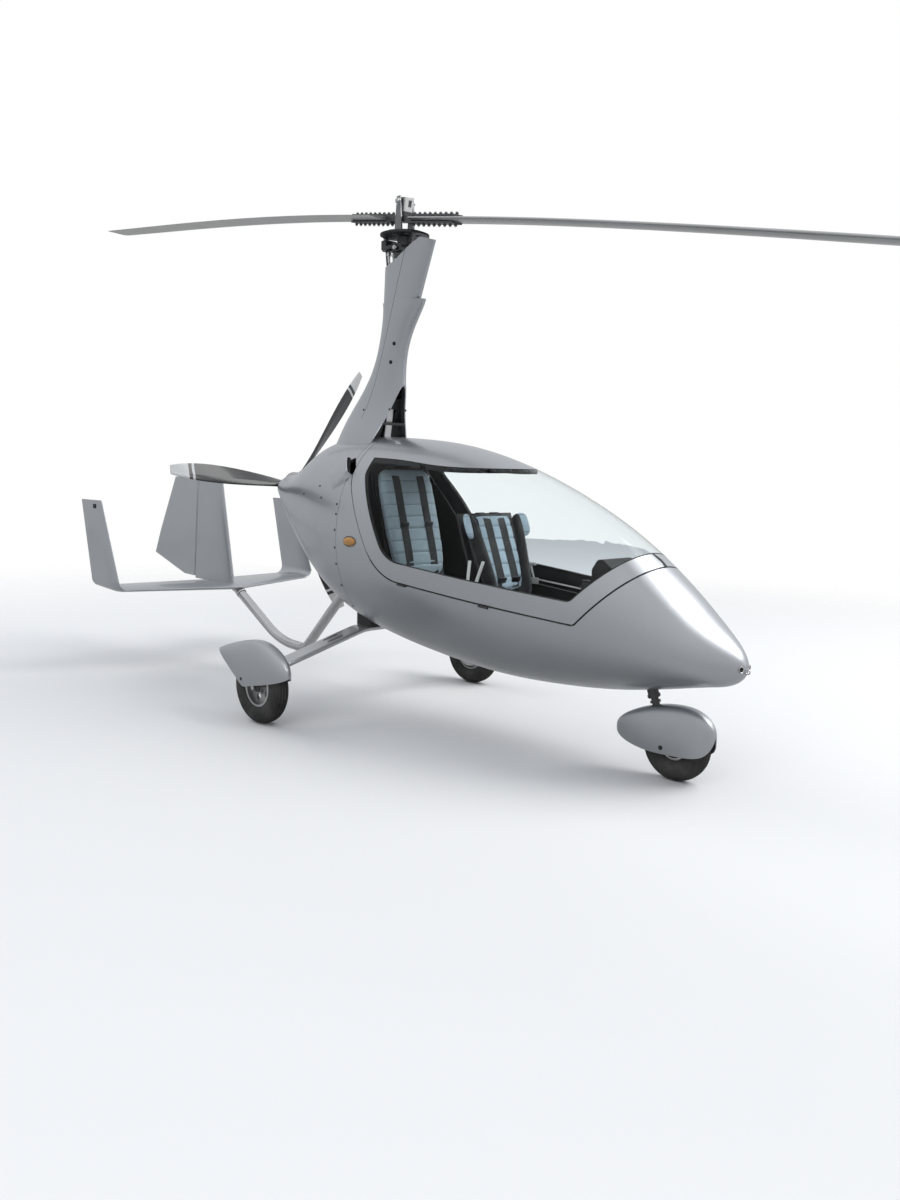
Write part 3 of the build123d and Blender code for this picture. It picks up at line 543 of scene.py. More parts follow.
TIP_REACH = 0.865
TIP_LENGTH = 0.115
RING_INSIDE_TIP = 0.145
prop_finish, tree, shader, place = finish(
    "propeller_black", Metallic=0.0, Coat_Weight=0.4, Coat_Roughness=0.1
)
from_axle = put(tree, "ShaderNodeVectorMath", {0: place, 1: PROPELLER_AXLE}, operation="SUBTRACT")
flat = put(
    tree, "ShaderNodeVectorMath", {0: from_axle.outputs[0], 1: (1, 0, 1)}, operation="MULTIPLY"
)
reach = put(tree, "ShaderNodeVectorMath", {0: flat.outputs[0]}, operation="LENGTH").outputs["Value"]
tip = maths(tree, "GREATER_THAN", reach, TIP_REACH - TIP_LENGTH)
ring = within(tree, reach, TIP_REACH - RING_INSIDE_TIP, 0.008)
grain = use(tree, flakes, Vector=place, Scale=260.0)
black = ramp(tree, grain.outputs["Spread"], [(0.3, (0.012, 0.012, 0.013)), (0.7, (0.024, 0.024, 0.025))])
banded = blend_colour(tree, maths(tree, "MAXIMUM", tip, ring), black, (0.62, 0.63, 0.63))
surface(tree, shader, banded, scaled(tree, grain.outputs["Spread"], 0.2, 0.26))
relief(tree, shader, grain.outputs["Height"], 0.06, 0.0006)
print("blades:", blade_metal.name, prop_finish.name)

# %% Amber lens, with painted light and shade across its ribs
amber, tree, shader, place = finish("amber_lens", Roughness=0.12, Coat_Weight=0.6)
ribs = put(
    tree, "ShaderNodeTexWave", {"Vector": place, "Scale": 60.0}, wave_type="BANDS", bands_direction="Z"
)
# The amber swings darker and lighter from rib to rib: painted light and shade on the ribs.
ribbed = ramp(tree, ribs.outputs["Fac"], [(0.2, (0.48, 0.20, 0.03)), (0.9, (0.72, 0.36, 0.07))])
tree.links.new(ribbed, shader.inputs["Base Color"])
relief(tree, shader, ribs.outputs["Fac"], 0.3, 0.001)
print("lens:", amber.name)


# %% [markdown]
# ## Give the CAD nodes their finishes
#
# The CAD solids already have their true shapes, so most of them only need a finish. This
# table goes from one finish to the nodes that wear it.

# %% Dress the nodes
DRESS = {
    hull_paint: ["fuselage_tub", "engine_cowling"],
    panel_paint: [
        "canopy_frame", "tailplane", "tip_fins", "centre_fin", "rudder", "main_spats", "nose_spat",
    ],
    mast_paint: ["mast_fairing"],
    bow_paint: ["gear_bow"],
    glazing: ["canopy_glass"],
    polished_steel: ["tail_boom", "mast_tube", "control_rods", "main_axles"],
    bright_steel: ["engine_mount"],
    blasted_alloy: [
        "engine_block", "gearbox", "propeller_hub", "main_rim_left", "main_rim_right", "nose_rim",
    ],
    tower_alloy: ["rotor_tower"],
    hub_finish: ["hub_bar"],
    dark_steel: [
        "rotor_head", "ring_gear", "prerotator", "nose_leg_sleeve", "nose_fork", "canopy_hinges",
    ],
    blade_metal: ["blade_pair"],
    prop_finish: ["propeller_blades"],
    black_shell: ["seat_shells", "instrument_panel", "cabin_controls", "intake_screen", "gear_saddle"],
    black_liner: ["cabin_floor", "firewall"],
    tyre_rubber: ["main_tyre_left", "main_tyre_right", "nose_tyre", "seat_pads"],
    amber: ["side_lamps"],
}
for material, names in DRESS.items():
    for name in names:
        mesh = nodes[name].data
        mesh.materials.clear()
        mesh.materials.append(material)
print("dressed:", sum(len(names) for names in DRESS.values()))

# %% [markdown]
# ## Seals and lining of the canopy
#
# A black rubber seal lies in the seam along the canopy's lower and front edges, and a pale
# bead closes its aft edge. The window sits in a second black seal. These could be drawn on
# the paint, but the seam is a real gap, so the strips are real too: the edge faces of the
# CAD frame are copied, kept where they face the seam, and given thickness.


# %% Edge strips cut from a node
def strip(name, node, keep, thickness, body, material):
    """Keep some faces of a node's copy and thicken them outwards."""
    piece = node_copy(node, name)
    bpy.ops.object.mode_set(mode="EDIT")
    pick_faces(piece, lambda centre, normal: not keep(centre, normal))
    bpy.ops.mesh.delete(type="FACE")
    bpy.ops.object.mode_set(mode="OBJECT")
    apply_modifier(piece, "SOLIDIFY", thickness=thickness, offset=1.0, use_even_offset=True)
    return fit(settle(piece), body, material)


def faces_seam(centre, normal):
    return abs(normal.x) < 0.03 and (normal.z < -0.15 or normal.y > 0.35)


def lower_seam(centre, normal):
    return faces_seam(centre, normal) and normal.y < 0.75 and centre.z < 1.2


def aft_seam(centre, normal):
    return faces_seam(centre, normal) and normal.y >= 0.75


def window_edge(centre, normal):
    side = abs(normal.x) < 0.03 and (normal.z > 0.15 or normal.y < -0.35)
    roof = abs(normal.z) < 0.02 and centre.z > 1.15 and abs(centre.x) < 0.24 and normal.y < 0.3
    return (side and not (centre.z > 1.3 and abs(centre.x) < 0.2 and normal.z > 0.5)) or roof


strip("canopy_seal", "canopy_frame", lower_seam, 0.0055, "canopy", black_rubber)
strip("canopy_bead", "canopy_frame", aft_seam, 0.0045, "canopy", panel_paint)
strip("window_seal", "canopy_frame", window_edge, 0.0018, "canopy", black_rubber)

# %% [markdown]
# The cabin is lined in black right up to its sills. The lining follows the inside of the
# tub and the canopy frame, so it is cut from the faces that look towards the cabin's own
# middle line.

# %% Black lining
MIDDLE = [(-2.13, 0.547), (-1.57, 0.682), (-0.88, 0.810), (-0.08, 0.921), (0.61, 1.054), (0.89, 1.187)]


def middle_height(y):
    """Height of the hull's widest line at a place along its length."""
    for (y0, z0), (y1, z1) in zip(MIDDLE, MIDDLE[1:]):
        if y <= y1:
            return z0 + (z1 - z0) * max(y - y0, 0) / (y1 - y0)
    return MIDDLE[-1][1]


def looks_inward(centre, normal):
    out = Vector((centre.x, 0, centre.z - middle_height(centre.y))).normalized()
    return out.dot(normal) < -0.35


strip("tub_lining", "fuselage_tub", looks_inward, 0.0025, "airframe", black_liner)
strip("frame_lining", "canopy_frame", looks_inward, 0.0015, "canopy", black_liner)

# %% [markdown]
# ## Turned parts
#
# Tyres, rings, knobs and rods are all turned shapes. A closed section is laid out point by
# point and spun about its axle, which gives a cleaner surface than stacking cylinders.


# %% Turning and small blocks
def turned(name, profile, centre, axis, steps=64):
    """Spin a closed section about an axle. Its points are a place along it and a radius."""
    fresh()
    bpy.ops.mesh.primitive_circle_add(
        vertices=len(profile), radius=0.1, fill_type="NOTHING", location=(0, 0, 0)
    )
    piece = named(name)
    axle = Vector(axis).normalized()
    side = axle.orthogonal().normalized()
    for vertex, (along, radius) in zip(piece.data.vertices, profile):
        vertex.co = Vector(centre) + axle * along + side * radius
    bpy.ops.object.mode_set(mode="EDIT")
    bpy.ops.mesh.select_all(action="SELECT")
    bpy.ops.mesh.spin(steps=steps, angle=2 * math.pi, center=centre, axis=axle)
    bpy.ops.mesh.select_all(action="SELECT")
    bpy.ops.mesh.remove_doubles(threshold=0.000005)
    bpy.ops.mesh.delete_loose(use_verts=True, use_edges=True, use_faces=False)
    bpy.ops.mesh.select_all(action="SELECT")
    bpy.ops.mesh.normals_make_consistent(inside=False)
    bpy.ops.object.mode_set(mode="OBJECT")
    return piece


def rod(name, start, end, radius, chamfer=0.001, steps=24):
    """A round bar with chamfered ends between two points."""
    start, end = Vector(start), Vector(end)
    length = (end - start).length
    profile = [
        (0, 0), (0, radius - chamfer), (chamfer, radius), (length - chamfer, radius),
        (length, radius - chamfer), (length, 0),
    ]
    return turned(name, profile, start, end - start, steps)


def block(name, size, centre, bevel=0.002, turn=(0, 0, 0), segments=2):
    """A block with rounded edges."""
    fresh()
    bpy.ops.mesh.primitive_cube_add(size=1, location=centre, rotation=turn)
    piece = named(name)
    piece.scale = size
    bpy.ops.object.transform_apply(location=False, rotation=False, scale=True)
    apply_modifier(piece, "BEVEL", width=bevel, segments=segments, limit_method="NONE")
    return piece


def screw(radius, height):
    """A small screw head with a round socket, standing on the origin along Z."""
    fresh()
    bpy.ops.mesh.primitive_cylinder_add(
        vertices=18, radius=radius, depth=height, location=(0, 0, height / 2)
    )
    piece = named("screw")
    bpy.ops.object.transform_apply(location=True)
    bpy.ops.object.mode_set(mode="EDIT")
    pick_faces(piece, lambda centre, normal: normal.z > 0.9)
    bpy.ops.mesh.inset(thickness=radius * 0.22, depth=height * 0.28)
    bpy.ops.mesh.inset(thickness=radius * 0.28, depth=0)
    bpy.ops.mesh.inset(thickness=radius * 0.04, depth=-height * 0.7)
    bpy.ops.object.mode_set(mode="OBJECT")
    return piece


def nut(radius, height):
    """A hexagon nut with chamfered corners and a stub of bolt, standing on the origin along Z."""
    fresh()
    bpy.ops.mesh.primitive_cylinder_add(
        vertices=6, radius=radius, depth=height, location=(0, 0, height / 2)
    )
    piece = named("nut")
    bpy.ops.object.transform_apply(location=True)
    apply_modifier(piece, "BEVEL", width=radius * 0.10, segments=2, limit_method="ANGLE")
    stub = rod("stub", (0, 0, 0), (0, 0, height * 1.45), radius * 0.55, radius * 0.1, 16)
    return joined("nut", [piece, stub])


def scatter(name, template, spots):
    """Copies of a small part at listed places, each facing its own way, as one piece."""
    copies = []
    for point, facing in spots:
        item = twin(template)
        item.location = point
        item.rotation_euler = Vector(facing).to_track_quat("Z", "Y").to_euler()
        copies.append(item)
    bpy.data.objects.remove(template)
    bpy.context.view_layer.update()
    return joined(name, copies)


def nearest(piece, point):
    """The nearest point of a surface and the direction it faces."""
    _, place, normal, _ = piece.closest_point_on_mesh(Vector(point))
    return place, normal


def on_node(node, point):
    """The nearest point of a CAD node's surface and the direction it faces."""
    return nearest(nodes[node], point)


# %% [markdown]
# ## Tyres
#
# The CAD tyre is a plain many-sided ring that fixes the size. The dressed tyre has the same
# outside: a slightly crowned tread with three round grooves, a soft shoulder, a full
# sidewall with a rib, and a bead that sits on the rim.

# %% Model the tyres and let them stand for the plain rings
SIDEWALL = [
    (0.74, 0.105), (0.84, 0.16), (0.92, 0.235), (0.965, 0.30), (0.985, 0.37), (1.0, 0.45), (0.995, 0.53),
    (1.0, 0.56), (0.985, 0.60), (0.96, 0.68), (0.90, 0.80), (0.83, 0.88), (0.76, 0.93), (0.72, 0.97),
    (0.66, 1.0),
]


def tyre_section(radius, half_width, bead):
    """Half of a tyre's section, from the middle of the tread down to the bead, and its mirror."""
    scale = half_width / 0.046

    def crown(x):
        return radius - 6.7 * (x / scale) ** 2 * scale

    wide = [x * scale for x in (0.0028, 0.0036, 0.0132, 0.0140, 0.0182, 0.0190, 0.0270, 0.0278, 0.0300)]
    deep = [0.0045, 0.0, 0.0, 0.0042, 0.0042, 0.0, 0.0, 0.0022, 0.0026]
    half = [(x, crown(x) - d) for x, d in zip(wide, deep)]
    depth = radius - bead
    for share, drop in SIDEWALL:
        half.append((share * half_width, radius - drop * depth))
    return half + [(-x, r) for x, r in reversed(half)]


WHEELS = [
    ("main_tyre_right", "main_wheel_right", main_hub(-1), 0.192, 0.046, 0.104),
    ("main_tyre_left", "main_wheel_left", main_hub(1), 0.192, 0.046, 0.104),
    ("nose_tyre", "nose_wheel", NOSE_AXLE, 0.160, 0.044, 0.066),
]
for node, body, centre, radius, half_width, bead in WHEELS:
    tyre = turned("ribbed_" + node, tyre_section(radius, half_width, bead), centre, (1, 0, 0), 120)
    fit(settle(tyre, 28), body, tyre_rubber)
    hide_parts(node)

# %% [markdown]
# ## Wheels and brakes
#
# The cast rims get what bolts onto them: a bright clamping ring, nuts, a hub cap and a valve.
# The main wheels also carry a brake disc on the inboard side, with a caliper that
# stays on the axle.

# %% Dress the rims
for side, word in SIDES.items():
    body = "main_wheel_" + word
    hub = main_hub(side)
    face = side * 0.0300
    lip = [
        (face, 0.0905), (face, 0.1020), (face + side * 0.0030, 0.1030), (face + side * 0.0045, 0.1000),
        (face + side * 0.0038, 0.0925),
    ]
    ring = turned("rim_ring_" + word, lip, hub, (1, 0, 0), 96)
    fit(settle(ring), body, bright_steel)
    cap = [
        (face - side * 0.002, 0.0), (face - side * 0.002, 0.0265), (face + side * 0.004, 0.0265),
        (face + side * 0.0085, 0.0225), (face + side * 0.0100, 0.0150), (face + side * 0.0100, 0.0),
    ]
    cap = turned("hub_cap_" + word, cap, hub, (1, 0, 0), 48)
    fit(settle(cap), body, dark_steel)
    spots = []
    for turn in range(5):
        angle = math.radians(72 * turn + 36)
        reach = Vector((side * 0.0052, 0.0345 * math.cos(angle), 0.0345 * math.sin(angle)))
        spots.append((hub + reach, (side, 0, 0)))
    nuts = scatter("wheel_nuts_" + word, nut(0.0068, 0.0070), spots)
    fit(settle(nuts), body, bright_steel)
    valve = rod(
        "valve_" + word, hub + Vector((side * 0.020, 0, 0.0930)), hub + Vector((side * 0.036, 0, 0.0860)),
        0.0035,
    )
    fit(settle(valve), body, black_rubber)
    inner = -side * 0.0400
    disc = [
        (inner, 0.0400), (inner, 0.0820), (inner - side * 0.0005, 0.0825), (inner - side * 0.0040, 0.0825),
        (inner - side * 0.0045, 0.0820), (inner - side * 0.0045, 0.0400),
    ]
    disc = turned("brake_disc_" + word, disc, hub, (1, 0, 0), 72)
    bell = [
        (-side * 0.030, 0.0165), (-side * 0.030, 0.0460), (inner, 0.0460), (inner - side * 0.003, 0.0460),
        (inner - side * 0.003, 0.0165),
    ]
    bell = turned("bell", bell, hub, (1, 0, 0), 48)
    fit(settle(joined("brake_disc_" + word, [disc, bell])), body, bright_steel)
    caliper = block(
        "caliper_" + word, (0.012, 0.060, 0.040), hub + Vector((-side * 0.0530, 0.052, 0.050)), 0.004,
        (math.radians(45), 0, 0),
    )
    fit(settle(caliper), "airframe", blasted_alloy)

for side, word in SIDES.items():
    face = side * 0.0270
    lip = [
        (face, 0.0540), (face, 0.0640), (face + side * 0.0025, 0.0650), (face + side * 0.0038, 0.0625),
        (face + side * 0.0032, 0.0560),
    ]
    ring = turned("nose_rim_ring_" + word, lip, NOSE_AXLE, (1, 0, 0), 72)
    fit(settle(ring), "nose_wheel", bright_steel)

# %% [markdown]
# ## Wheel fairings
#
# Each wheel runs under a thin silver shell: blunt and open below on the main wheels, and
# egg-shaped on the nose wheel. The CAD shells have the same size with fewer sections. A
# grid has its points moved onto smooth curves for the crest, the rim and the width, and is
# then given a wall.


# %% Smooth curves through listed places
def along_curve(table, y, column):
    """A smooth value between listed rows, for one column."""
    spots = [row[0] for row in table]
    index = max(i for i in range(len(spots) - 1) if y >= spots[i] or i == 0)
    before, after = table[max(index - 1, 0)], table[min(index + 2, len(table) - 1)]
    here, there = table[index], table[index + 1]
    share = (y - here[0]) / (there[0] - here[0])
    step = there[0] - here[0]
    slope_here = (there[column] - before[column]) / (there[0] - before[0]) * step
    slope_there = (after[column] - here[column]) / (after[0] - here[0]) * step
    square, cube = share**2, share**3
    return (
        (2 * cube - 3 * square + 1) * here[column] + (cube - 2 * square + share) * slope_here
        + (3 * square - 2 * cube) * there[column] + (cube - square) * slope_there
    )


# %% Fairing shells
FAIRING_WALL = 0.0035
CROWN_POWER = 0.80
FLANK_POWER = 0.62
RIM_TUCK = 0.08


def fairing(name, centre, rows, widest, blunt_nose, blunt_tail, nose_height):
    """A shell from rows of place along Y, half width, crest and rim, with rounded ends.

    nose_height is where the front end closes, as a share from rim to crest.
    """
    fresh()
    bpy.ops.mesh.primitive_grid_add(x_subdivisions=36, y_subdivisions=48, size=2)
    piece = named(name)
    front, rear = rows[0][0], rows[-1][0]
    for vertex in piece.data.vertices:
        turn = vertex.co.x * math.pi / 2
        y = front + (rear - front) * (1 - math.cos((vertex.co.y + 1) * math.pi / 2)) / 2
        reach = (widest - y) / (widest - front) if y < widest else (y - widest) / (rear - widest)
        blunt = blunt_nose if y < widest else blunt_tail
        close = max(1 - min(reach, 1) ** blunt, 0) ** 0.5
        slim = max(1 - min(reach, 1) ** (blunt + 1), 0) ** 0.5
        low = max(1 - min(reach, 1) ** (3 * blunt), 0) ** 0.5 if y < widest else close
        half, crest, rim = (along_curve(rows, y, column) for column in (1, 2, 3))
        middle = rim + (crest - rim) * (nose_height if y < widest else 0.5)
        crest, rim = middle + (crest - middle) * close, middle + (rim - middle) * low
        up = abs(math.cos(turn)) ** CROWN_POWER
        out = math.copysign(abs(math.sin(turn)) ** FLANK_POWER, turn)
        tuck = 1 - RIM_TUCK * (1 - up) ** 3
        vertex.co = Vector(centre) + Vector((out * half * slim * tuck, y, rim + (crest - rim) * up))
    bpy.ops.object.mode_set(mode="EDIT")
    bpy.ops.mesh.select_all(action="SELECT")
    bpy.ops.mesh.remove_doubles(threshold=0.0002)
    bpy.ops.mesh.normals_make_consistent(inside=False)
    bpy.ops.object.mode_set(mode="OBJECT")
    above = [face for face in piece.data.polygons if face.center.z > centre[2] + 0.24]
    if sum(face.normal.z for face in above) < 0:
        piece.data.flip_normals()
    return apply_modifier(piece, "SOLIDIFY", thickness=FAIRING_WALL, offset=-1.0)


MAIN_SHELL = [
    (-0.235, 0.058, 0.405, 0.252), (-0.120, 0.067, 0.421, 0.226), (0.020, 0.070, 0.430, 0.197),
    (0.080, 0.068, 0.425, 0.185), (0.115, 0.066, 0.419, 0.198), (0.170, 0.060, 0.407, 0.230),
    (0.300, 0.044, 0.373, 0.298), (0.380, 0.031, 0.350, 0.332),
]
NOSE_SHELL = [
    (-0.188, 0.064, 0.340, 0.134), (-0.090, 0.070, 0.341, 0.126), (0.030, 0.072, 0.334, 0.121),
    (0.140, 0.068, 0.319, 0.115), (0.230, 0.059, 0.302, 0.108), (0.318, 0.052, 0.287, 0.096),
]
shells = [
    fairing(
        "shell", (side * MAIN_AXLE.x, MAIN_AXLE.y, 0), MAIN_SHELL, 0.020, 2.2, 9.0, 0.10
    ) for side in (-1, 1)
]
shells = fit(settle(joined("main_fairings", shells), 50), "airframe", panel_paint)
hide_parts("main_spats")
shell = fairing("nose_fairing", (0, NOSE_AXLE.y, 0), NOSE_SHELL, 0.030, 2.6, 2.1, 0.45)
fit(settle(shell, 50), "nose_steering", panel_paint)
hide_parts("nose_spat")

# %% [markdown]
# ## Seats
#
# Both seats have quilted panels in pale blue with black borders, and two black shoulder
# straps. Each cushion starts as a rounded slab a little smaller than the CAD pad, is swelled
# by a short cloth simulation with air pressure inside, and only then gets its sewn channels.


# %% Seat cloth
WAIST_RISE = 0.24
SEAM_HALF_WIDTH = 0.0014


def quilt_cloth(name, light_half_width, along, start, length, pitch, light, border_top=0.0, waist=0.0):
    """Cloth with a pale middle, a black border and level seams, painted darker as shade in their creases.

    along is the direction up the panel, as parts of Y and Z, and start is where it begins.
    waist is how much narrower the pale middle gets towards its lower end.
    """
    material, tree, shader, place = finish(
        name, Sheen_Weight=0.25, Sheen_Roughness=0.5, Specular_IOR_Level=0.3
    )
    parts = put(tree, "ShaderNodeSeparateXYZ", {"Vector": place})
    up = maths(tree, "MULTIPLY", parts.outputs["Z"], along[1])
    reach = maths(tree, "ADD", maths(tree, "MULTIPLY", parts.outputs["Y"], along[0]), up)
    reach = maths(tree, "SUBTRACT", reach, start)
    risen = maths(tree, "DIVIDE", reach, WAIST_RISE, clamp=True)
    border_at = scaled(tree, risen, waist, light_half_width - waist)
    edge = maths(tree, "GREATER_THAN", maths(tree, "ABSOLUTE", parts.outputs["X"]), border_at)
    top = maths(tree, "GREATER_THAN", reach, length - border_top)
    border = maths(tree, "MAXIMUM", edge, top)
    cell = maths(tree, "FRACT", maths(tree, "ADD", maths(tree, "DIVIDE", reach, pitch), 100.5))
    lines = within(tree, cell, 0.5, SEAM_HALF_WIDTH / pitch)
    threads = use(tree, weave, Vector=place, Scale=2600.0)
    pale = ramp(tree, threads.outputs["Shade"], [(0.3, toned(light, 0.86)), (0.7, light)])
    # The seam lines are painted a darker blue: painted shade in the creases of the channels.
    seam_shaded = blend_colour(tree, maths(tree, "MULTIPLY", lines, 0.75), pale, (0.10, 0.13, 0.17))
    black = ramp(
        tree, threads.outputs["Shade"], [(0.3, (0.014, 0.014, 0.016)), (0.7, (0.026, 0.026, 0.028))]
    )
    rough = scaled(tree, threads.outputs["Height"], 0.12, 0.72)
    surface(tree, shader, blend_colour(tree, border, seam_shaded, black), rough)
    raised = maths(tree, "MULTIPLY", threads.outputs["Height"], 0.35)
    height = maths(tree, "SUBTRACT", raised, maths(tree, "MULTIPLY", lines, 0.8))
    relief(tree, shader, height, 0.5, 0.0012)
    print("cloth:", name)
    return material


webbing, tree, shader, place = finish("black_webbing", Sheen_Weight=0.2, Specular_IOR_Level=0.35)
threads = use(tree, weave, Vector=place, Scale=4200.0)
shade = ramp(tree, threads.outputs["Height"], [(0.1, (0.008, 0.008, 0.009)), (0.9, (0.030, 0.030, 0.032))])
surface(tree, shader, shade, scaled(tree, threads.outputs["Shade"], 0.2, 0.55))
relief(tree, shader, threads.outputs["Height"], 0.6, 0.0010)

# %% Cushions
SEATS = {
    "front": ((-1.190, 0.655), (-0.815, 0.600), (-0.628, 1.110)),
    "rear": ((-0.560, 0.660), (-0.190, 0.610), (0.015, 1.325)),
}
SEAM_PITCH = 0.066
PAD_THICK = 0.044
BACK_MARGIN = 0.130
SEAT_MARGIN = 0.078
PALE_BLUE = (0.44, 0.56, 0.65)
# The rear back is the same pale blue cloth, made darker as painted shade.
SHADED_PALE_BLUE = (0.40, 0.50, 0.56)


def panel_frame(start, end, up):
    """A frame on a seat shell: X across, Y from start to end, Z away from the shell."""
    along = Vector((0, end[0] - start[0], end[1] - start[1]))
    length = along.length
    along.normalize()
    up = Vector(up)
    normal = (up - along * up.dot(along)).normalized()
    across = along.cross(normal)
    turn = Matrix((across, along, normal)).transposed().to_4x4()
    return Matrix.Translation(Vector((0, start[0], start[1]))) @ turn, length


def swell(piece, voxel, force, cap):
    """Swell a closed form like a stuffed cushion, but no point by more than the cap."""
    only(piece)
    piece.data.remesh_voxel_size = voxel
    bpy.ops.object.voxel_remesh()
    before = [vertex.co.copy() for vertex in piece.data.vertices]
    cloth = piece.modifiers.new("cloth", "CLOTH")
    cloth.settings.quality = 3
    cloth.settings.mass = 0.3
    cloth.settings.use_pressure = True
    cloth.settings.uniform_pressure_force = force
    cloth.settings.effector_weights.gravity = 0
    for moment in range(1, 15):
        bpy.context.scene.frame_set(moment)
    bpy.ops.object.modifier_apply(modifier=cloth.name)
    for vertex, old in zip(piece.data.vertices, before):
        step = vertex.co - old
        if step.length > cap:
            vertex.co = old + step * (cap / step.length)
    bpy.context.scene.frame_set(1)
    return piece


def cushion(name, width, length, thick, place, offset, far=0.0, groove=0.0045, narrow=0.0, corner=5.0):
    """A quilted cushion on a seat shell.

    offset is how far along the shell it starts, and far is where its seams are counted from.
    """
    fresh()
    bpy.ops.mesh.primitive_cube_add(size=1, location=(0, 0, 0))
    piece = named(name)
    bpy.ops.object.mode_set(mode="EDIT")
    bpy.ops.mesh.select_all(action="SELECT")
    bpy.ops.mesh.subdivide(number_cuts=19)
    bpy.ops.object.mode_set(mode="OBJECT")
    for vertex in piece.data.vertices:
        u, v, w = (2 * c for c in vertex.co)
        edge = max(abs(u), abs(v))
        reach = (abs(u) ** corner + abs(v) ** corner) ** (1 / corner) or 1.0
        u, v = u * edge / reach, v * edge / reach
        taper = 1 - narrow * max(v, 0) ** 2
        lift = 0.5 + 0.5 * w * (1 - 0.40 * edge**6)
        vertex.co = (u * width / 2 * taper, (v + 1) * length / 2 + offset, lift * thick)
    swell(piece, 0.008, 4.0, 0.009)
    for vertex in piece.data.vertices:
        if vertex.co.z < thick * 0.25:
            vertex.co.z = max(vertex.co.z, 0.0005)
    apply_modifier(piece, "SUBSURF", levels=1)
    upward = [vertex.normal.z > 0.2 for vertex in piece.data.vertices]
    for vertex, faces_up in zip(piece.data.vertices, upward):
        if faces_up:
            cell = (abs(far - vertex.co.y) / SEAM_PITCH + 0.5) % 1.0
            vertex.co.z -= groove * math.exp(-(((cell - 0.5) * SEAM_PITCH / 0.0060) ** 2))
    piece.matrix_world = place @ Matrix.Translation((0, 0, 0.008))
    return settle(piece, 60)


cushions = {}
for word, (front_edge, hip, head) in SEATS.items():
    back_place, back_length = panel_frame(head, hip, (0, -1, 0))
    seat_place, seat_length = panel_frame(front_edge, hip, (0, 0, 1))
    rise = Vector((head[0] - hip[0], head[1] - hip[1])).normalized()
    start = hip[0] * rise.x + hip[1] * rise.y
    if word == "front":
        cloth = quilt_cloth(
            "front_back_cloth", 0.116, tuple(rise), start, back_length, SEAM_PITCH, PALE_BLUE, 0.030, 0.030
        )
        back = cushion(
            "front_back_cushion", 0.366, back_length - BACK_MARGIN, PAD_THICK, back_place, 0.004,
            back_length, narrow=0.20, corner=4.5,
        )
    else:
        cloth = quilt_cloth(
            "rear_back_cloth", 0.192, tuple(rise), start, back_length, SEAM_PITCH, SHADED_PALE_BLUE, 0.02
        )
        back = cushion(
            "rear_back_cushion", 0.398, back_length - BACK_MARGIN, PAD_THICK, back_place, 0.004,
            back_length, narrow=0.10, corner=6.0,
        )
    fit(back, "airframe", cloth)
    cushions[word + "_back"] = back
    slope = Vector((hip[0] - front_edge[0], hip[1] - front_edge[1])).normalized()
    first = front_edge[0] * slope.x + front_edge[1] * slope.y
    cloth = quilt_cloth(word + "_seat_cloth", 0.105, tuple(slope), first, 5.0, SEAM_PITCH, PALE_BLUE)
    seat = cushion(
        word + "_seat_cushion", 0.354, seat_length - SEAT_MARGIN, PAD_THICK, seat_place, 0.006, corner=6.0
    )
    fit(seat, "airframe", cloth)
    cushions[word + "_seat"] = seat
    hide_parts("seat_pads")

# %% [markdown]
# The front seat is a bucket: a black bolster stands along each side of its back, and a
# small pale wing sits outside each bolster at shoulder height. They are stuffed the same
# way as the cushions.

# %% Bolsters and shoulder wings on the front seat
black_cloth, tree, shader, place = finish(
    "black_cloth", Sheen_Weight=0.25, Sheen_Roughness=0.5, Specular_IOR_Level=0.3
)
threads = use(tree, weave, Vector=place, Scale=2600.0)
shade = ramp(tree, threads.outputs["Shade"], [(0.3, (0.010, 0.010, 0.011)), (0.7, (0.020, 0.020, 0.022))])
surface(tree, shader, shade, scaled(tree, threads.outputs["Height"], 0.12, 0.68))
relief(tree, shader, threads.outputs["Height"], 0.4, 0.0010)
wing_cloth = quilt_cloth("wing_cloth", 1.0, (0, 1), 0.0, 9.0, 0.085, PALE_BLUE)


def pillow(name, size, corner, voxel, cap):
    """A small stuffed form about the origin, with rounded outline and thin edges."""
    fresh()
    bpy.ops.mesh.primitive_cube_add(size=1, location=(0, 0, 0))
    piece = named(name)
    bpy.ops.object.mode_set(mode="EDIT")
    bpy.ops.mesh.select_all(action="SELECT")
    bpy.ops.mesh.subdivide(number_cuts=9)
    bpy.ops.object.mode_set(mode="OBJECT")
    for vertex in piece.data.vertices:
        u, v, w = (2 * c for c in vertex.co)
        edge = max(abs(u), abs(v))
        reach = (abs(u) ** corner + abs(v) ** corner) ** (1 / corner) or 1.0
        vertex.co = (
            u * edge / reach * size[0], v * edge / reach * size[1], w * size[2] * (1 - 0.5 * edge**4)
        )
    swell(piece, voxel, 4.0, cap)
    return apply_modifier(piece, "SUBSURF", levels=1)


front_place, _ = panel_frame(SEATS["front"][2], SEATS["front"][1], (0, -1, 0))
for side, word in SIDES.items():
    bolster = pillow("side_bolster_" + word, (0.027, 0.215, 0.034), 3.0, 0.007, 0.006)
    lean = Matrix.Rotation(side * 0.12, 4, "Z") @ Matrix.Rotation(side * -0.35, 4, "Y")
    bolster.matrix_world = front_place @ Matrix.Translation((side * 0.149, 0.238, 0.056)) @ lean
    fit(settle(bolster, 60), "airframe", black_cloth)
    wing = pillow("shoulder_wing_" + word, (0.040, 0.062, 0.014), 2.8, 0.006, 0.005)
    lean = Matrix.Rotation(side * -0.45, 4, "Y")
    wing.matrix_world = front_place @ Matrix.Translation((side * 0.198, 0.082, 0.062)) @ lean
    fit(settle(wing, 60), "airframe", wing_cloth)

# %% [markdown]
# ### Harness
#
# Webbing is flat and thin, so a remesh would erase it. Each strap is a ribbon laid on its
# cushion by casting rays onto it, then thickened. Adjusters and the buckle are small
# rounded blocks.


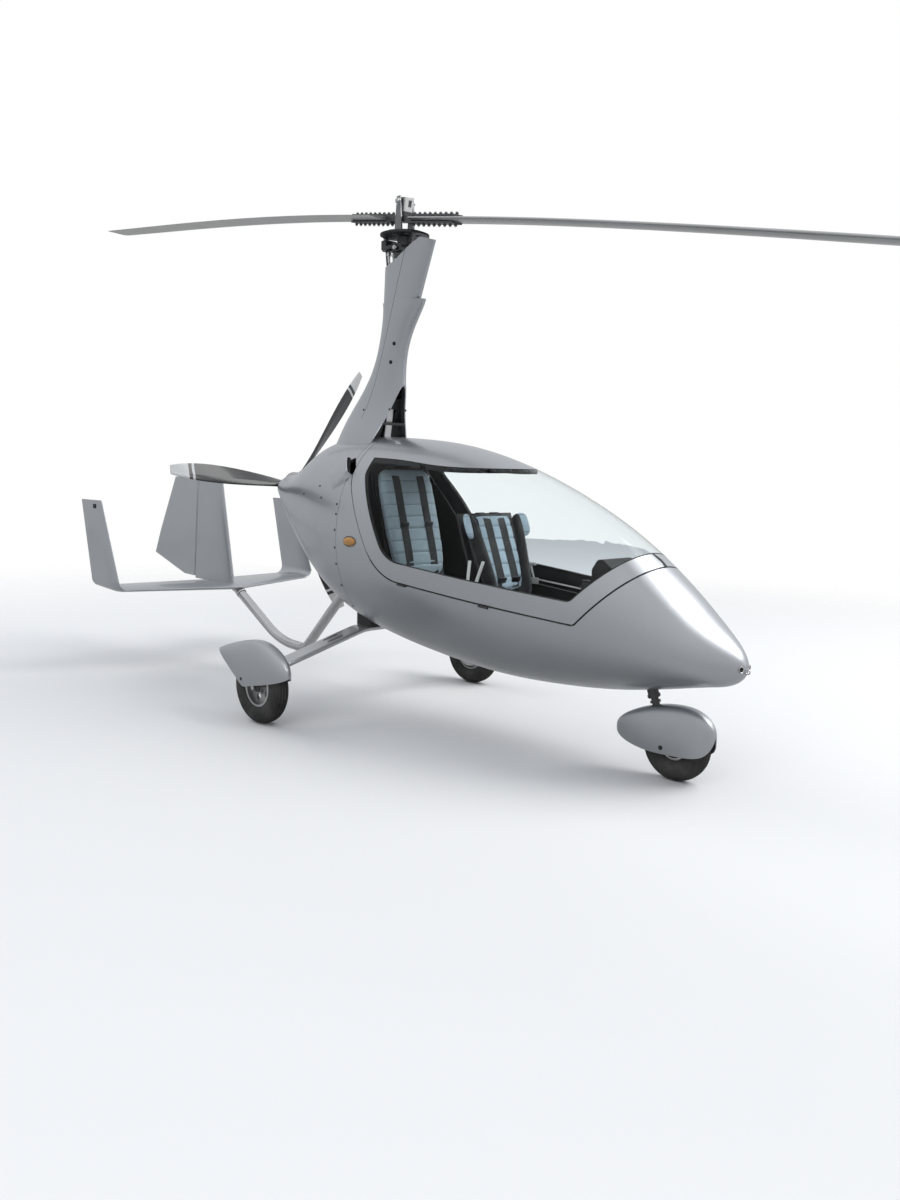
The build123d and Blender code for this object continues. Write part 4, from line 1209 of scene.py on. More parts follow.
# %% Straps laid on the cushions
WEBBING_THICK = 0.0022
STRAP_WIDTH = 0.052
LAP_WIDTH = 0.046
LAP_SETBACK = 0.135
OVER_THE_TOP = [(0.014, 0.004), (0.001, 0.010), (-0.001, 0.024)]


def laid(cushion_piece, x, place, reaches, lift):
    """Points on a cushion's face, straight above listed distances along its shell."""
    points = []
    for reach in reaches:
        origin = place @ Vector((x, reach, 0.20))
        aim = (place.to_3x3() @ Vector((0, 0, -1))).normalized()
        hit, spot, _, _ = cushion_piece.ray_cast(origin, aim)
        if not hit:
            _, spot, _, _ = cushion_piece.closest_point_on_mesh(place @ Vector((x, reach, 0.05)))
        points.append(spot - aim * lift)
    return points


def ribbon(name, points, width, across=(1, 0, 0)):
    """Webbing through points, flat in the direction across."""
    fresh()
    bpy.ops.mesh.primitive_grid_add(x_subdivisions=1, y_subdivisions=len(points) - 1, size=1)
    piece = named(name)
    for index, vertex in enumerate(piece.data.vertices):
        row, side = divmod(index, 2)
        vertex.co = points[row] + Vector(across) * ((side - 0.5) * width)
    apply_modifier(piece, "SUBSURF", levels=2, boundary_smooth="PRESERVE_CORNERS")
    apply_modifier(piece, "SOLIDIFY", thickness=WEBBING_THICK, offset=0.0)
    return piece


for word, (front_edge, hip, head) in SEATS.items():
    place, length = panel_frame(head, hip, (0, -1, 0))
    back = cushions[word + "_back"]
    strap_x = 0.052 if word == "front" else 0.090
    steps = [0.006 + (length - 0.150) * i / 11 for i in range(12)]
    for side, side_word in SIDES.items():
        name = word + "_shoulder_strap_" + side_word
        points = laid(back, side * strap_x, place, steps, WEBBING_THICK)
        over = [place @ Vector((side * strap_x, y, z)) for y, z in OVER_THE_TOP]
        strap = ribbon(name, over + points, STRAP_WIDTH)
        fit(settle(strap, 50), "airframe", webbing)
        middle = points[6 if word == "rear" else 10]
        facing = place.to_3x3() @ Vector((0, 0, 1))
        tilt = math.atan2(facing.z, -facing.y)
        middle = middle - Vector((0, 0.004, 0))
        adjuster = block(name + "_adjuster", (0.058, 0.007, 0.030), middle, 0.002, (tilt, 0, 0))
        fit(settle(adjuster), "airframe", dark_steel)
    seat_place, seat_length = panel_frame(front_edge, hip, (0, 0, 1))
    seat = cushions[word + "_seat"]
    lap_row = [seat_length - LAP_SETBACK]
    for side, side_word in SIDES.items():
        points = []
        for x in (0.186, 0.150, 0.110, 0.070, 0.036):
            spot = laid(seat, side * min(x, 0.168), seat_place, lap_row, 0.0030)[0]
            drop = 0.012 if x > 0.17 else 0.0
            points.append(Vector((side * x, spot.y, spot.z - drop)))
        lap = ribbon(word + "_lap_strap_" + side_word, points, LAP_WIDTH, (0, 1, 0))
        fit(settle(lap, 50), "airframe", webbing)
    spot = laid(seat, 0.0, seat_place, lap_row, 0.0060)[0]
    buckle = block(word + "_buckle", (0.062, 0.066, 0.016), spot, 0.005, (0, 0, 0), 3)
    fit(settle(buckle), "airframe", dark_steel)

# %% [markdown]
# ## Rotor head
#
# This is the busiest place on the aircraft. The ring gear has teeth that the drive pinion
# meshes with, the tower carries the teeter bolt, and rows of bolts clamp the blade roots.
# The CAD solids hold the forms. The teeth, nuts, washers and joints are added here, each
# modelled once and copied to listed places.

# %% Gear teeth
ACROSS = Vector((math.cos(ROTOR_TURN), math.sin(ROTOR_TURN), 0))
ALONG = Vector((-math.sin(ROTOR_TURN), math.cos(ROTOR_TURN), 0))


def gear_teeth(name, centre, radius, tall, deep, count, thick):
    """A ring of tapered teeth round an upright axle."""
    fresh()
    bpy.ops.mesh.primitive_cube_add(size=1, location=(0, 0, 0))
    tooth = named("tooth")
    pitch = 2 * math.pi * radius / count
    for vertex in tooth.data.vertices:
        u, v, w = (2 * c for c in vertex.co)
        reach = tall / 2 * w
        slim = 0.30 if w > 0 else 0.52
        vertex.co = (u * pitch * slim / 2, v * thick / 2, reach)
    apply_modifier(tooth, "BEVEL", width=deep, segments=1, limit_method="NONE")
    copies = []
    for index in range(count):
        angle = 2 * math.pi * index / count
        out = Vector((math.cos(angle), math.sin(angle), 0))
        item = twin(tooth)
        item.location = Vector(centre) + out * radius
        side = Vector((-out.y, out.x, 0))
        item.rotation_euler = Matrix((side, Vector((0, 0, 1)), out)).transposed().to_euler()
        copies.append(item)
    bpy.data.objects.remove(tooth)
    bpy.context.view_layer.update()
    return joined(name, copies)


teeth = gear_teeth("ring_gear_teeth", (0, 0, 2.5515), 0.1285, 0.0050, 0.0004, 96, 0.0100)
fit(settle(teeth), "rotor", dark_steel)
teeth = gear_teeth("pinion_teeth", (0, 0.147, 2.5510), 0.0142, 0.0030, 0.0003, 12, 0.0150)
fit(settle(teeth), "airframe", bright_steel)
rim = [
    (-0.0035, 0.1070), (0.0050, 0.1070), (0.0050, 0.1090), (0.0015, 0.1110), (-0.0035, 0.1110),
]
rim = turned("ring_gear_rib", rim, (0, 0, 2.5590), (0, 0, 1), 96)
fit(settle(rim), "rotor", dark_steel)
spots = []
for index in range(6):
    angle = math.radians(60 * index + 30) + ROTOR_TURN
    spots.append(((0.062 * math.cos(angle), 0.062 * math.sin(angle), 2.5570), (0, 0, 1)))
bolts = scatter("ring_gear_bolts", nut(0.0070, 0.0050), spots)
fit(settle(bolts), "rotor", bright_steel)

# %% Teeter bolt, washers and the bearings inside the cheeks
parts_list = []
for side in (-1, 1):
    outer = 0.0455 * side
    washer = [
        (0, 0.0095), (side * 0.0030, 0.0095), (side * 0.0030, 0.0185), (side * 0.0022, 0.0195), (0, 0.0195)
    ]
    parts_list.append(turned("washer", washer, TEETER + ACROSS * outer, ACROSS, 40))
    head = nut(0.0150, 0.0085)
    head.location = TEETER + ACROSS * (outer + side * 0.0030)
    head.rotation_euler = (ACROSS * side).to_track_quat("Z", "Y").to_euler()
    bpy.context.view_layer.update()
    parts_list.append(head)
teeter = joined("teeter_bolt_ends", parts_list)
fit(settle(teeter), "rotor", bright_steel)
parts_list = []
for side in (-1, 1):
    ring = [
        (0, 0.0098), (side * 0.0060, 0.0098), (side * 0.0060, 0.0200), (side * 0.0048, 0.0215), (0, 0.0215)
    ]
    parts_list.append(turned("ring", ring, TEETER + ACROSS * (0.0285 * side), ACROSS, 40))
fit(settle(joined("teeter_bearings", parts_list)), "rotor_blades", dark_steel)

# %% Stops, links and bolts on the fixed head
parts_list = []
for side in (-1, 1):
    head = nut(0.0125, 0.0080)
    head.location = (side * 0.0700, 0, 2.4810)
    head.rotation_euler = Vector((side, 0, 0)).to_track_quat("Z", "Y").to_euler()
    parts_list.append(head)
    ball = [
        (-0.0105, 0.0), (-0.0105, 0.0070), (-0.0070, 0.0105), (0.0, 0.0125), (0.0070, 0.0105),
        (0.0105, 0.0070), (0.0105, 0.0),
    ]
    parts_list.append(turned("joint", ball, (side * 0.018, 0.103, 2.464), (1, 0, 0), 28))
    parts_list.append(
        rod("clevis", (side * 0.018, 0.1035, 2.4600), (side * 0.0172, 0.1015, 2.4200), 0.0075)
    )
bpy.context.view_layer.update()
fit(settle(joined("head_links", parts_list)), "airframe", bright_steel)
parts_list = [
    block("bracket", (0.056, 0.010, 0.044), (0, -0.0470, 2.4560), 0.003),
    block("bracket", (0.010, 0.070, 0.040), (-0.0345, 0.004, 2.4520), 0.003),
    block("bracket", (0.010, 0.070, 0.040), (0.0345, 0.004, 2.4520), 0.003),
    block("motor", (0.062, 0.056, 0.034), (0, 0.1180, 2.5190), 0.006, (0, 0, 0), 3),
    block("motor", (0.030, 0.040, 0.050), (-0.040, 0.1080, 2.5080), 0.005, (0, 0, 0), 3),
    block("link", (0.012, 0.120, 0.018), (-0.050, 0.0620, 2.4930), 0.003),
    block("link", (0.012, 0.120, 0.018), (0.050, 0.0620, 2.4930), 0.003),
]
for height in (2.4950, 2.5040, 2.5130, 2.5220):
    fin = [(0, 0.0200), (0, 0.0232), (0.0030, 0.0232), (0.0030, 0.0200)]
    parts_list.append(turned("fin", fin, (0, 0.147, height), (0, 0, 1), 36))
fit(settle(joined("head_brackets", parts_list)), "airframe", dark_steel)
spots = []
for x in (-0.018, 0.018):
    for y in (-0.030, 0.030):
        spots.append(((x, y, 2.4720), (0, 0, 1)))
spots += [
    ((0, 0.092, 2.4880), (0, 0, 1)), ((-0.018, 0.070, 2.4880), (0, 0, 1)),
    ((0.018, 0.070, 2.4880), (0, 0, 1)),
]
fit(settle(scatter("head_screws", nut(0.0060, 0.0050), spots)), "airframe", bright_steel)

# %% [markdown]
# The blade bolts stand in two rows, one on top and one below each root clamp. The solids
# have their hexagons. Here each gets the stub of its thread, placed in the hub bar's own
# tilted frame.

# %% Threads on the blade bolts
NORMAL = Vector((0, 0, 1)) * math.cos(ROTOR_TILT) - ALONG * math.sin(ROTOR_TILT)
SPAN = ALONG * math.cos(ROTOR_TILT) + Vector((0, 0, 1)) * math.sin(ROTOR_TILT)
BAR_DROP = 0.085
STUB_LEVEL = 0.0125 + 0.0053 + 0.0150
spots = []
for side in (-1, 1):
    for face in (-1, 1):
        for index in range(9):
            span = side * 0.285 + (index - 4) * 0.046
            level = -BAR_DROP + face * STUB_LEVEL
            point = TEETER + SPAN * span + NORMAL * (level - face * 0.0002)
            spots.append((point, NORMAL * face))
stub = turned(
    "stub", [(0, 0), (0, 0.0048), (0.0042, 0.0048), (0.0050, 0.0040), (0.0050, 0)], (0, 0, 0), (0, 0, 1), 14
)
fit(settle(scatter("blade_bolt_threads", stub, spots)), "rotor_blades", bright_steel)
parts_list = []
for side in (-1, 1):
    plate = block("plate", (0.044, 0.060, 0.0030), (0, 0, 0), 0.0008)
    plate.location = TEETER + SPAN * (side * 0.060) + NORMAL * (0.0160 - BAR_DROP)
    plate.rotation_euler = Matrix((ACROSS, SPAN, NORMAL)).transposed().to_euler()
    parts_list.append(plate)
bpy.context.view_layer.update()
fit(settle(joined("hub_bar_plates", parts_list)), "rotor_blades", blasted_alloy)

# %% [markdown]
# ## Small parts of the hull
#
# Screws hold the cowling, and they sit on the hull's real surface: each listed place is
# moved to the nearest point of the CAD solid and takes its direction from there. The port
# side is the mirror of the starboard side.

# %% Cowling screws
SCREWS = [
    (-0.356, 0.107, 1.129), (-0.367, 0.100, 1.077), (-0.378, 0.098, 0.993), (-0.380, 0.098, 0.899),
    (-0.370, 0.100, 0.810), (-0.329, 0.277, 1.157), (-0.279, 0.494, 1.168), (-0.302, 0.321, 1.218),
    (-0.330, 0.104, 0.690), (-0.250, 0.108, 0.560),
]
MAST_SCREWS = [
    (-0.120, 0.180, 1.465), (-0.110, 0.330, 1.460), (-0.060, 0.030, 1.640), (-0.070, 0.230, 1.640),
]
spots = []
for side in (1, -1):
    for x, y, z in SCREWS:
        spots.append(on_node("engine_cowling", (side * x, y, z)))
    for x, y, z in MAST_SCREWS:
        spots.append(on_node("mast_fairing", (side * x, y, z)))
fit(
    settle(scatter("cowling_screws", screw(0.0062, 0.0014), spots)), "airframe", dark_steel,
)

# %% [markdown]
# Each shoulder has an air intake. The hole is in the CAD solids. Behind it a hood rises from
# the cowling and sinks back into it, so the mouth faces forwards. The hood is a grid whose
# points stand on the cowling's own surface, lifted by a smooth height.

# %% Intake hoods
hoods = []
for side in (-1, 1):
    middle = Vector((side * 0.272, 0.084, 1.334))
    long_way = Vector((side * 58, -70, -79)).normalized()
    out = Vector((side * 0.72, -0.25, 0.66)).normalized()
    back = long_way.cross(out).normalized()
    if back.y < 0:
        back.negate()
    fresh()
    bpy.ops.mesh.primitive_grid_add(x_subdivisions=16, y_subdivisions=14, size=2)
    hood = named("hood")
    for vertex in hood.data.vertices:
        u, v = vertex.co.x, (vertex.co.y + 1) / 2
        line = middle + long_way * u * 0.082
        near, facing = on_node("engine_cowling", line + back * 0.034)
        far, _ = on_node("engine_cowling", line + back * 0.064)
        distance = 0.019 + 0.175 * v
        if distance < 0.034:
            ground = near + (near - far).normalized() * (0.034 - distance)
        else:
            ground, facing = on_node("engine_cowling", line + back * distance)
        rise = 0.028 * (1 - v) ** 1.15 * max(1 - abs(u) ** 7, 0) - 0.0012 * v - 0.0010 * abs(u) ** 6
        vertex.co = ground + facing * rise
    apply_modifier(hood, "SUBSURF", levels=1, boundary_smooth="PRESERVE_CORNERS")
    apply_modifier(hood, "SOLIDIFY", thickness=0.0026, offset=0.0)
    hoods.append(hood)
fit(settle(joined("intake_hoods", hoods), 50), "airframe", panel_paint)

# %% Nose: rings round the two air holes and a small tow eye
parts_list = []
for side in (-1, 1):
    axis = Vector((side * 0.30, -0.95, 0.05)).normalized()
    centre = Vector((side * 0.034, -2.1215, 0.545))
    ring = [(-0.006, 0.0105), (0.0035, 0.0105), (0.0048, 0.0120), (0.0040, 0.0140), (-0.006, 0.0150)]
    parts_list.append(turned("ring", ring, centre, axis, 40))
fit(settle(joined("nose_rings", parts_list)), "airframe", bright_steel)
eye = [
    (-0.0022, 0.0070), (0.0, 0.0062), (0.0022, 0.0070), (0.0030, 0.0090), (0.0022, 0.0110), (0.0, 0.0118),
    (-0.0022, 0.0110), (-0.0030, 0.0090),
]
eye = turned("tow_eye", eye, (0, -2.136, 0.5330), (1, 0, 0), 40)
fit(settle(eye), "airframe", bright_steel)

# %% Lamps: steel bases, amber lenses and the dark covers on the tip fins
LAMP_Y = -0.045
LAMP_Z = 0.941
parts_list = []
for side in (-1, 1):
    place, _ = on_node("fuselage_tub", (side * 0.420, LAMP_Y, LAMP_Z))
    fresh()
    bpy.ops.mesh.primitive_circle_add(vertices=40, radius=1, fill_type="NOTHING")
    base = named("base")
    for vertex in base.data.vertices:
        u, v, _ = vertex.co
        vertex.co = (u * 0.0485, v * 0.0250, 0)
    bpy.ops.object.mode_set(mode="EDIT")
    bpy.ops.mesh.select_mode(type="VERT")
    bpy.ops.mesh.select_all(action="SELECT")
    bpy.ops.mesh.extrude_region_move(TRANSFORM_OT_translate={"value": (0, 0, 0.006)})
    bpy.ops.transform.resize(value=(1.05, 1.10, 1), center_override=(0, 0, 0))
    bpy.ops.mesh.extrude_region_move(TRANSFORM_OT_translate={"value": (0, 0, -0.009)})
    bpy.ops.transform.resize(value=(1.04, 1.08, 1), center_override=(0, 0, 0))
    bpy.ops.object.mode_set(mode="OBJECT")
    turn = Matrix((Vector((0, side, 0)), Vector((0, 0, 1)), Vector((side, 0, 0)))).transposed()
    base.rotation_euler = turn.to_euler()
    base.location = (place.x - side * 0.0015, LAMP_Y, LAMP_Z)
    parts_list.append(base)
bpy.context.view_layer.update()
bases = joined("lamp_bases", parts_list)
apply_modifier(bases, "SOLIDIFY", thickness=0.0015, offset=-1.0)
fit(settle(bases, 60), "airframe", dark_steel)
lenses = []
for side in (-1, 1):
    dome = [
        (-0.012, 0.0), (-0.012, 0.0465), (0.0020, 0.0465), (0.0065, 0.0440), (0.0105, 0.0375),
        (0.0132, 0.0270), (0.0146, 0.0140), (0.0150, 0.0),
    ]
    centre = (side * 0.3945, LAMP_Y, LAMP_Z)
    lens = turned("lens", dome, centre, (side, 0, 0), 40)
    bpy.ops.object.mode_set(mode="EDIT")
    bpy.ops.mesh.select_all(action="SELECT")
    bpy.ops.transform.resize(value=(1, 1, 0.50), center_override=centre)
    bpy.ops.object.mode_set(mode="OBJECT")
    lenses.append(lens)
lenses = fit(settle(joined("lamp_lenses", lenses), 50), "airframe", amber)
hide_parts("side_lamps")
parts_list = []
for side in (-1, 1):
    place, _ = on_node("tip_fins", (side * 0.78, 2.030, 1.035))
    cover = block("cover", (0.010, 0.030, 0.028), place, 0.0025, (0, 0, 0), 3)
    parts_list.append(cover)
fit(settle(joined("tip_lamp_covers", parts_list)), "airframe", black_shell)

# %% [markdown]
# ## Mast fairing
#
# The fairing is two shells that meet along a line down its side. The line and the dark
# cable holes follow the photograph. The paint's own material draws the line, a row of
# rivets runs ahead of it, and the holes are rubber grommets set into the skin.

# %% Grommets and rivets
spots = []
for side in (-1, 1):
    for y, z in ((0.017, 1.988), (0.042, 1.892)):
        spots.append(on_node("mast_fairing", (side * 0.060, y, z)))
grommet = [
    (-0.001, 0.0), (-0.001, 0.0115), (0.0016, 0.0100), (0.0016, 0.0075), (0.0004, 0.0060), (0.0004, 0.0),
]
grommet = turned("grommet", grommet, (0, 0, 0), (0, 0, 1), 28)
fit(settle(scatter("mast_grommets", grommet, spots)), "airframe", black_rubber)
spots = []
for side in (-1, 1):
    for share in range(9):
        z = 2.30 - 0.078 * share
        y = -0.031 + (z - 2.396) * SEAM_LEAN
        spots.append(on_node("mast_fairing", (side * 0.070, y - 0.016, z)))
fit(
    settle(scatter("mast_rivets", screw(0.0036, 0.0008), spots)), "airframe", bright_steel,
)

# %% [markdown]
# ## Propeller hub
#
# Two clamped halves hold the blade roots. A ring of bolts and a small domed cap finish the
# aft face.

# %% Bolts and cap
spots = []
for index in range(6):
    angle = math.radians(60 * index + 5)
    reach = Vector((0.060 * math.cos(angle), 0.0280, 0.060 * math.sin(angle)))
    spots.append((PROPELLER_AXLE + reach, (0, 1, 0)))
fit(
    settle(scatter("propeller_bolts", nut(0.0085, 0.0070), spots)), "propeller", bright_steel,
)
cap = [(0.0400, 0.0), (0.0400, 0.0440), (0.0430, 0.0440), (0.0500, 0.0380), (0.0545, 0.0240), (0.0560, 0.0)]
cap = turned("propeller_cap", cap, PROPELLER_AXLE, (0, 1, 0), 48)
fit(settle(cap), "propeller", blasted_alloy)
cuffs = []
for index in range(3):
    angle = math.radians(35.1 + 120 * index)
    out = Vector((math.sin(angle), 0, math.cos(angle)))
    cuff = [
        (0.0740, 0.0170), (0.0740, 0.0255), (0.0780, 0.0265), (0.0850, 0.0265), (0.0880, 0.0245),
        (0.0880, 0.0170),
    ]
    cuffs.append(turned("cuff", cuff, PROPELLER_AXLE, out, 32))
fit(settle(joined("propeller_cuffs", cuffs)), "propeller", blasted_alloy)

# %% [markdown]
# ## Tail fittings
#
# The tailplane sits on the end of the keel tube, which two clamps hold.

# %% Clamps on the keel tube
parts_list = []
for y, z in ((1.530, 0.478), (1.590, 0.512)):
    direction = Vector((0, 0.86, 0.51))
    band = [
        (-0.011, 0.0290), (-0.011, 0.0320), (-0.009, 0.0330), (0.009, 0.0330), (0.011, 0.0320),
        (0.011, 0.0290),
    ]
    parts_list.append(turned("band", band, (0, y, z), direction, 48))
fit(settle(joined("tail_clamps", parts_list)), "airframe", bright_steel)

# %% [markdown]
# ## Main gear fittings
#
# Bolts hold the bow in its saddle, the axle plates to the bow's ends and the fairings to
# the axles.

# %% Bolts on the gear
spots = []
for side in (-1, 1):
    for x, y in ((0.090, 0.120), (0.090, 0.204)):
        spots.append(on_node("gear_bow", (side * x, y, 0.470)))
    for dy, z in ((-0.022, 0.285), (0.022, 0.285)):
        spots.append(((side * 0.7240, MAIN_AXLE.y + dy, z - 0.030), (side, 0, 0)))
fit(settle(scatter("gear_bolts", nut(0.0085, 0.0065), spots)), "airframe", bright_steel)
spots = []
for side in (-1, 1):
    spots.append(nearest(shells, (side * 0.900, 0.262, 0.222)))
fit(
    settle(scatter("main_fairing_screws", screw(0.0085, 0.0016), spots)), "airframe", dark_steel,
)
spots = [nearest(shell, (side * 0.110, -1.779, 0.146)) for side in (-1, 1)]
plug = [(-0.002, 0.0), (-0.002, 0.0110), (0.0016, 0.0102), (0.0036, 0.0060), (0.0040, 0.0)]
plug = turned("plug", plug, (0, 0, 0), (0, 0, 1), 28)
fit(settle(scatter("nose_fairing_plugs", plug, spots)), "nose_steering", black_rubber)

# %% [markdown]
# ## Cabin fittings
#
# Through the glass one sees grips with finger grooves, rubber boots at the sticks' feet,
# a row of round gauges, the canopy's latch arms and a lock lever with its long rod on the
# port sill.

# %% Grips and boots
for word, y in (("front", -1.290), ("rear", -0.640)):
    grip = [(0.0, 0.0)]
    for index in range(25):
        share = index / 24
        wave = 0.0016 * math.cos(share * 4 * 2 * math.pi)
        grip.append((share * 0.112, 0.0192 + 0.0030 * math.sin(share * math.pi) - wave))
    grip += [(0.1180, 0.0190), (0.1215, 0.0140), (0.1225, 0.0)]
    piece = turned(word + "_grip", grip, (0, y, 0.7140), (0, 0, 1), 32)
    fit(settle(piece, 60), "airframe", black_rubber)
    boot = [(0.0, 0.0560), (0.004, 0.0600)]
    for index in range(9):
        share = index / 8
        boot.append((0.006 + 0.085 * share, 0.0560 - 0.0420 * share + (0.0035 if index % 2 else -0.0015)))
    boot += [(0.0940, 0.0105), (0.0, 0.0105)]
    piece = turned(word + "_stick_boot", boot, (0, y, 0.5220), (0, 0, 1), 36)
    fit(settle(piece, 60), "airframe", black_rubber)
knob = [
    (0.0, 0.0), (0.0, 0.0110), (0.006, 0.0160), (0.018, 0.0200), (0.030, 0.0180), (0.038, 0.0110),
    (0.041, 0.0),
]
knob = turned("throttle_knob", knob, (0.245, -1.100, 0.748), (0, 0, 1), 32)
fit(settle(knob, 60), "airframe", black_rubber)

# %% Gauges
dial_face, tree, shader, place = finish("dial_face", Specular_IOR_Level=0.3, Coat_Weight=0.6)
grain = use(tree, flakes, Vector=place, Scale=900.0)
shade = ramp(tree, grain.outputs["Spread"], [(0.3, (0.010, 0.010, 0.011)), (0.7, (0.020, 0.020, 0.021))])
surface(tree, shader, shade, scaled(tree, grain.outputs["Height"], 0.1, 0.30))
pale_mark, tree, shader, place = finish("pale_mark", Specular_IOR_Level=0.3)
grain = use(tree, flakes, Vector=place, Scale=900.0)
shade = ramp(tree, grain.outputs["Spread"], [(0.3, (0.70, 0.70, 0.68)), (0.7, (0.80, 0.80, 0.78))])
surface(tree, shader, shade, scaled(tree, grain.outputs["Height"], 0.1, 0.45))
bezels, faces, marks_list = [], [], []
radius = 0.028
for x, z in [(x, z) for z in (0.862, 0.790) for x in (-0.066, 0.0, 0.066)]:
    y = -1.4000 - (0.900 - z) * 0.0446
    centre = Vector((x, y, z))
    bezel = [
        (-0.002, radius), (0.006, radius), (0.0075, radius - 0.0015), (0.0065, radius - 0.0040),
        (-0.002, radius - 0.0045),
    ]
    bezels.append(turned("bezel", bezel, centre, (0, 1, 0), 40))
    face = [(0.0, 0.0), (0.0, radius - 0.0040), (0.0025, radius - 0.0040), (0.0025, 0.0)]
    faces.append(turned("face", face, centre, (0, 1, 0), 32))
    for index in range(12):
        angle = math.radians(30 * index)
        out = Vector((math.sin(angle), 0, math.cos(angle)))
        spot = centre + out * (radius - 0.0085) + Vector((0, 0.0029, 0))
        marks_list.append(block("mark", (0.0011, 0.0008, 0.0048), spot, 0.0002, (0, angle, 0), 1))
    angle = math.radians(-60 + 400 * (x + 0.1) + 900 * (z - 0.8))
    out = Vector((math.sin(angle), 0, math.cos(angle)))
    spot = centre + out * 0.0070 + Vector((0, 0.0034, 0))
    marks_list.append(block("needle", (0.0014, 0.0010, 0.0170), spot, 0.0003, (0, angle, 0), 1))
fit(settle(joined("gauge_bezels", bezels)), "airframe", dark_steel)
fit(settle(joined("gauge_faces", faces)), "airframe", dial_face)
fit(settle(joined("gauge_marks", marks_list)), "airframe", pale_mark)

# %% Latch arms, lock lever and rod
arms = [
    rod("arm", (-0.352, -0.858, 0.776), (-0.340, -0.862, 0.906), 0.0075),
    rod("arm", (-0.352, -0.902, 0.772), (-0.338, -0.946, 0.908), 0.0075),
    block("foot", (0.030, 0.110, 0.014), (-0.356, -0.892, 0.774), 0.003),
]
fit(settle(joined("latch_arms", arms)), "airframe", pale_mark)
levers = [
    rod("bar", (0.338, -0.620, 0.836), (0.338, -0.700, 0.842), 0.0080),
    rod("stem", (0.340, -0.664, 0.838), (0.342, -0.690, 0.762), 0.0060),
    rod("rod", (0.342, -0.690, 0.764), (0.336, -1.006, 0.741), 0.0040),
    block("foot", (0.014, 0.050, 0.034), (0.346, -0.690, 0.752), 0.003),
]
fit(settle(joined("lock_lever", levers)), "airframe", pale_mark)

# %% [markdown]
# ## Floor and light
#
# A pale disc of floor catches the shadow and fades out with distance, so no edge shows
# from any side. Seen straight on or through glass it is nearly white. Mirrored in paint
# and metal only a share of that white counts, and the rest is a darker grey, so the silver
# darkens towards the belly. The sky is white in the same way, and the part that lights the
# paint is brighter overhead than near the horizon.

# %% Build the floor
MIRRORED_SHARE = 0.5


def backdrop_share(tree):
    """How much of the white backdrop a ray sees: all straight or through glass, part mirrored."""
    rays = tree.nodes.new("ShaderNodeLightPath")
    turned_back = maths(tree, "ADD", rays.outputs["Diffuse Depth"], rays.outputs["Glossy Depth"])
    direct = maths(tree, "LESS_THAN", turned_back, 0.5)
    through = maths(tree, "MULTIPLY", rays.outputs["Is Transmission Ray"], direct)
    straight = maths(tree, "MAXIMUM", rays.outputs["Is Camera Ray"], through)
    mirrored = maths(tree, "MULTIPLY", rays.outputs["Is Glossy Ray"], MIRRORED_SHARE)
    return maths(tree, "MAXIMUM", straight, mirrored), rays


fresh()
bpy.ops.mesh.primitive_circle_add(vertices=128, radius=14, fill_type="NGON", location=(0, 0, -0.0005))
floor = settle(named("studio_floor"))
floor_finish, tree, shader, place = finish("studio_floor", Base_Color=(0.82, 0.82, 0.82, 1), Roughness=0.9)
ground = put(tree, "ShaderNodeBsdfPrincipled", {"Base Color": (0.20, 0.20, 0.19, 1), "Roughness": 0.9})
seen, rays = backdrop_share(tree)
either = tree.nodes.new("ShaderNodeMixShader")
tree.links.new(seen, either.inputs[0])
tree.links.new(ground.outputs[0], either.inputs[1])
tree.links.new(shader.outputs[0], either.inputs[2])
away = put(tree, "ShaderNodeVectorMath", {0: place}, operation="LENGTH").outputs["Value"]
reach = {"Value": away, "From Min": 3.6, "From Max": 8.5, "To Min": 0.0, "To Max": 1.0}
fade = put(tree, "ShaderNodeMapRange", reach, interpolation_type="SMOOTHSTEP")
seen_fade = maths(tree, "MULTIPLY", fade.outputs[0], rays.outputs["Is Camera Ray"])
clear = tree.nodes.new("ShaderNodeBsdfTransparent")
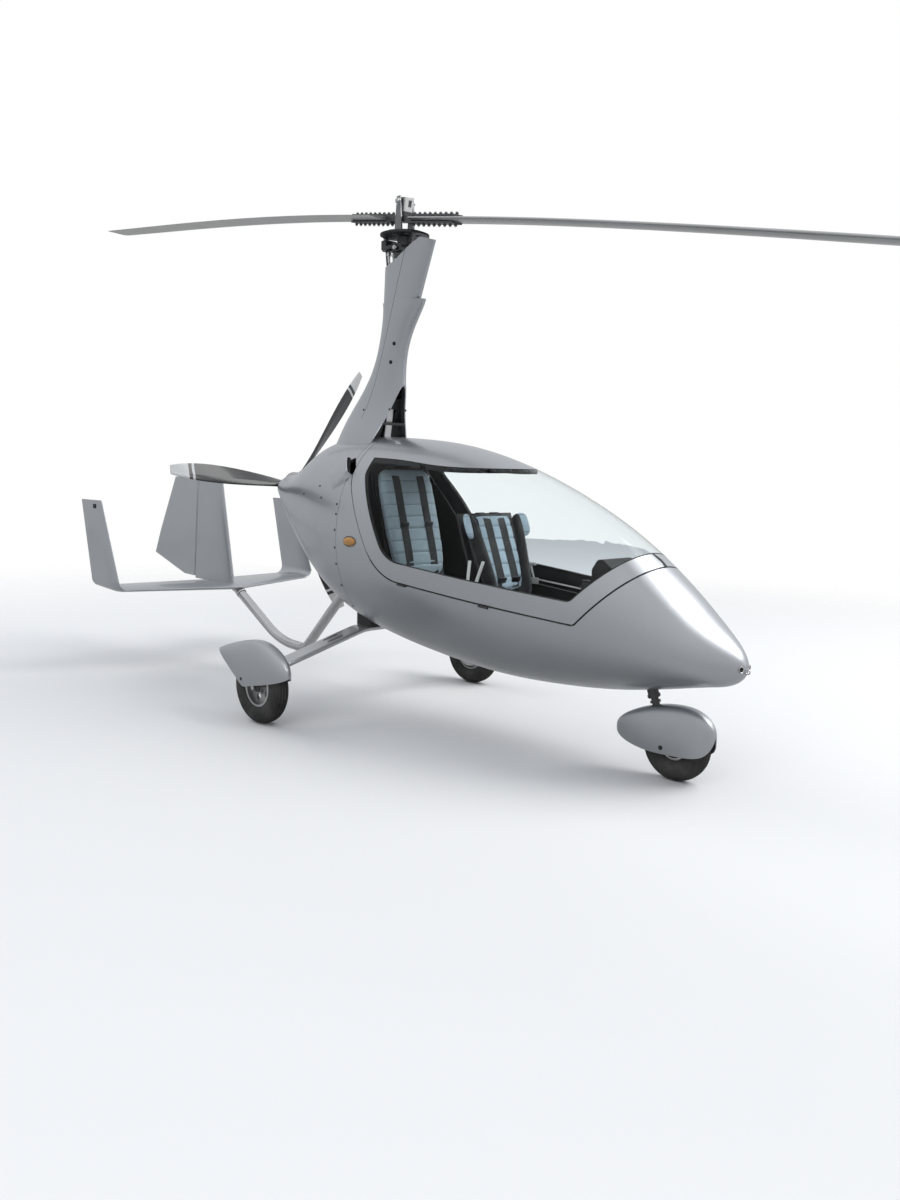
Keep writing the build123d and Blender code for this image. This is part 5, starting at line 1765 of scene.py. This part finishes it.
mix = tree.nodes.new("ShaderNodeMixShader")
tree.links.new(seen_fade, mix.inputs[0])
tree.links.new(either.outputs[0], mix.inputs[1])
tree.links.new(clear.outputs[0], mix.inputs[2])
tree.links.new(mix.outputs[0], tree.nodes["Material Output"].inputs["Surface"])
floor.data.materials.append(floor_finish)

# %% Sky and lamps
world = bpy.data.worlds.new("studio")
world.use_nodes = True
bpy.context.scene.world = world
tree = world.node_tree
sky = tree.nodes["Background"]
aim = put(tree, "ShaderNodeTexCoord").outputs["Object"]
height = put(tree, "ShaderNodeSeparateXYZ", {"Vector": aim}).outputs["Z"]
tones = [(0.0, (0.30, 0.32, 0.34)), (0.35, (0.46, 0.50, 0.56)), (0.9, (0.92, 0.95, 1.0))]
tree.links.new(ramp(tree, height, tones), sky.inputs["Color"])
sky.inputs["Strength"].default_value = 0.75
paper = put(tree, "ShaderNodeBackground", {"Color": (1, 1, 1, 1), "Strength": 1.0})
seen, _ = backdrop_share(tree)
mix = tree.nodes.new("ShaderNodeMixShader")
tree.links.new(seen, mix.inputs[0])
tree.links.new(sky.outputs[0], mix.inputs[1])
tree.links.new(paper.outputs[0], mix.inputs[2])
tree.links.new(mix.outputs[0], tree.nodes["World Output"].inputs["Surface"])

LAMP_AIM = Vector((0, -0.4, 0.9))
LAMPS = [
    ("key", (5.0, -5.5, 8.0), 7.0, 700.0),
    ("fill", (-8.0, -3.0, 4.5), 6.0, 180.0),
    ("back", (-1.0, 9.0, 6.5), 5.0, 260.0),
]
for name, spot, size, power in LAMPS:
    lamp_data = bpy.data.lights.new(name, "AREA")
    lamp_data.size = size
    lamp_data.energy = power
    lamp = bpy.data.objects.new(name, lamp_data)
    lamp.location = spot
    lamp.rotation_euler = (LAMP_AIM - Vector(spot)).to_track_quat("-Z", "Y").to_euler()
    bpy.context.scene.collection.objects.link(lamp)
    lamp.visible_glossy = name == "key"
    lamp.visible_transmission = name != "back"
bpy.context.scene.view_settings.view_transform = "Standard"
print("lamps:", [row[0] for row in LAMPS])
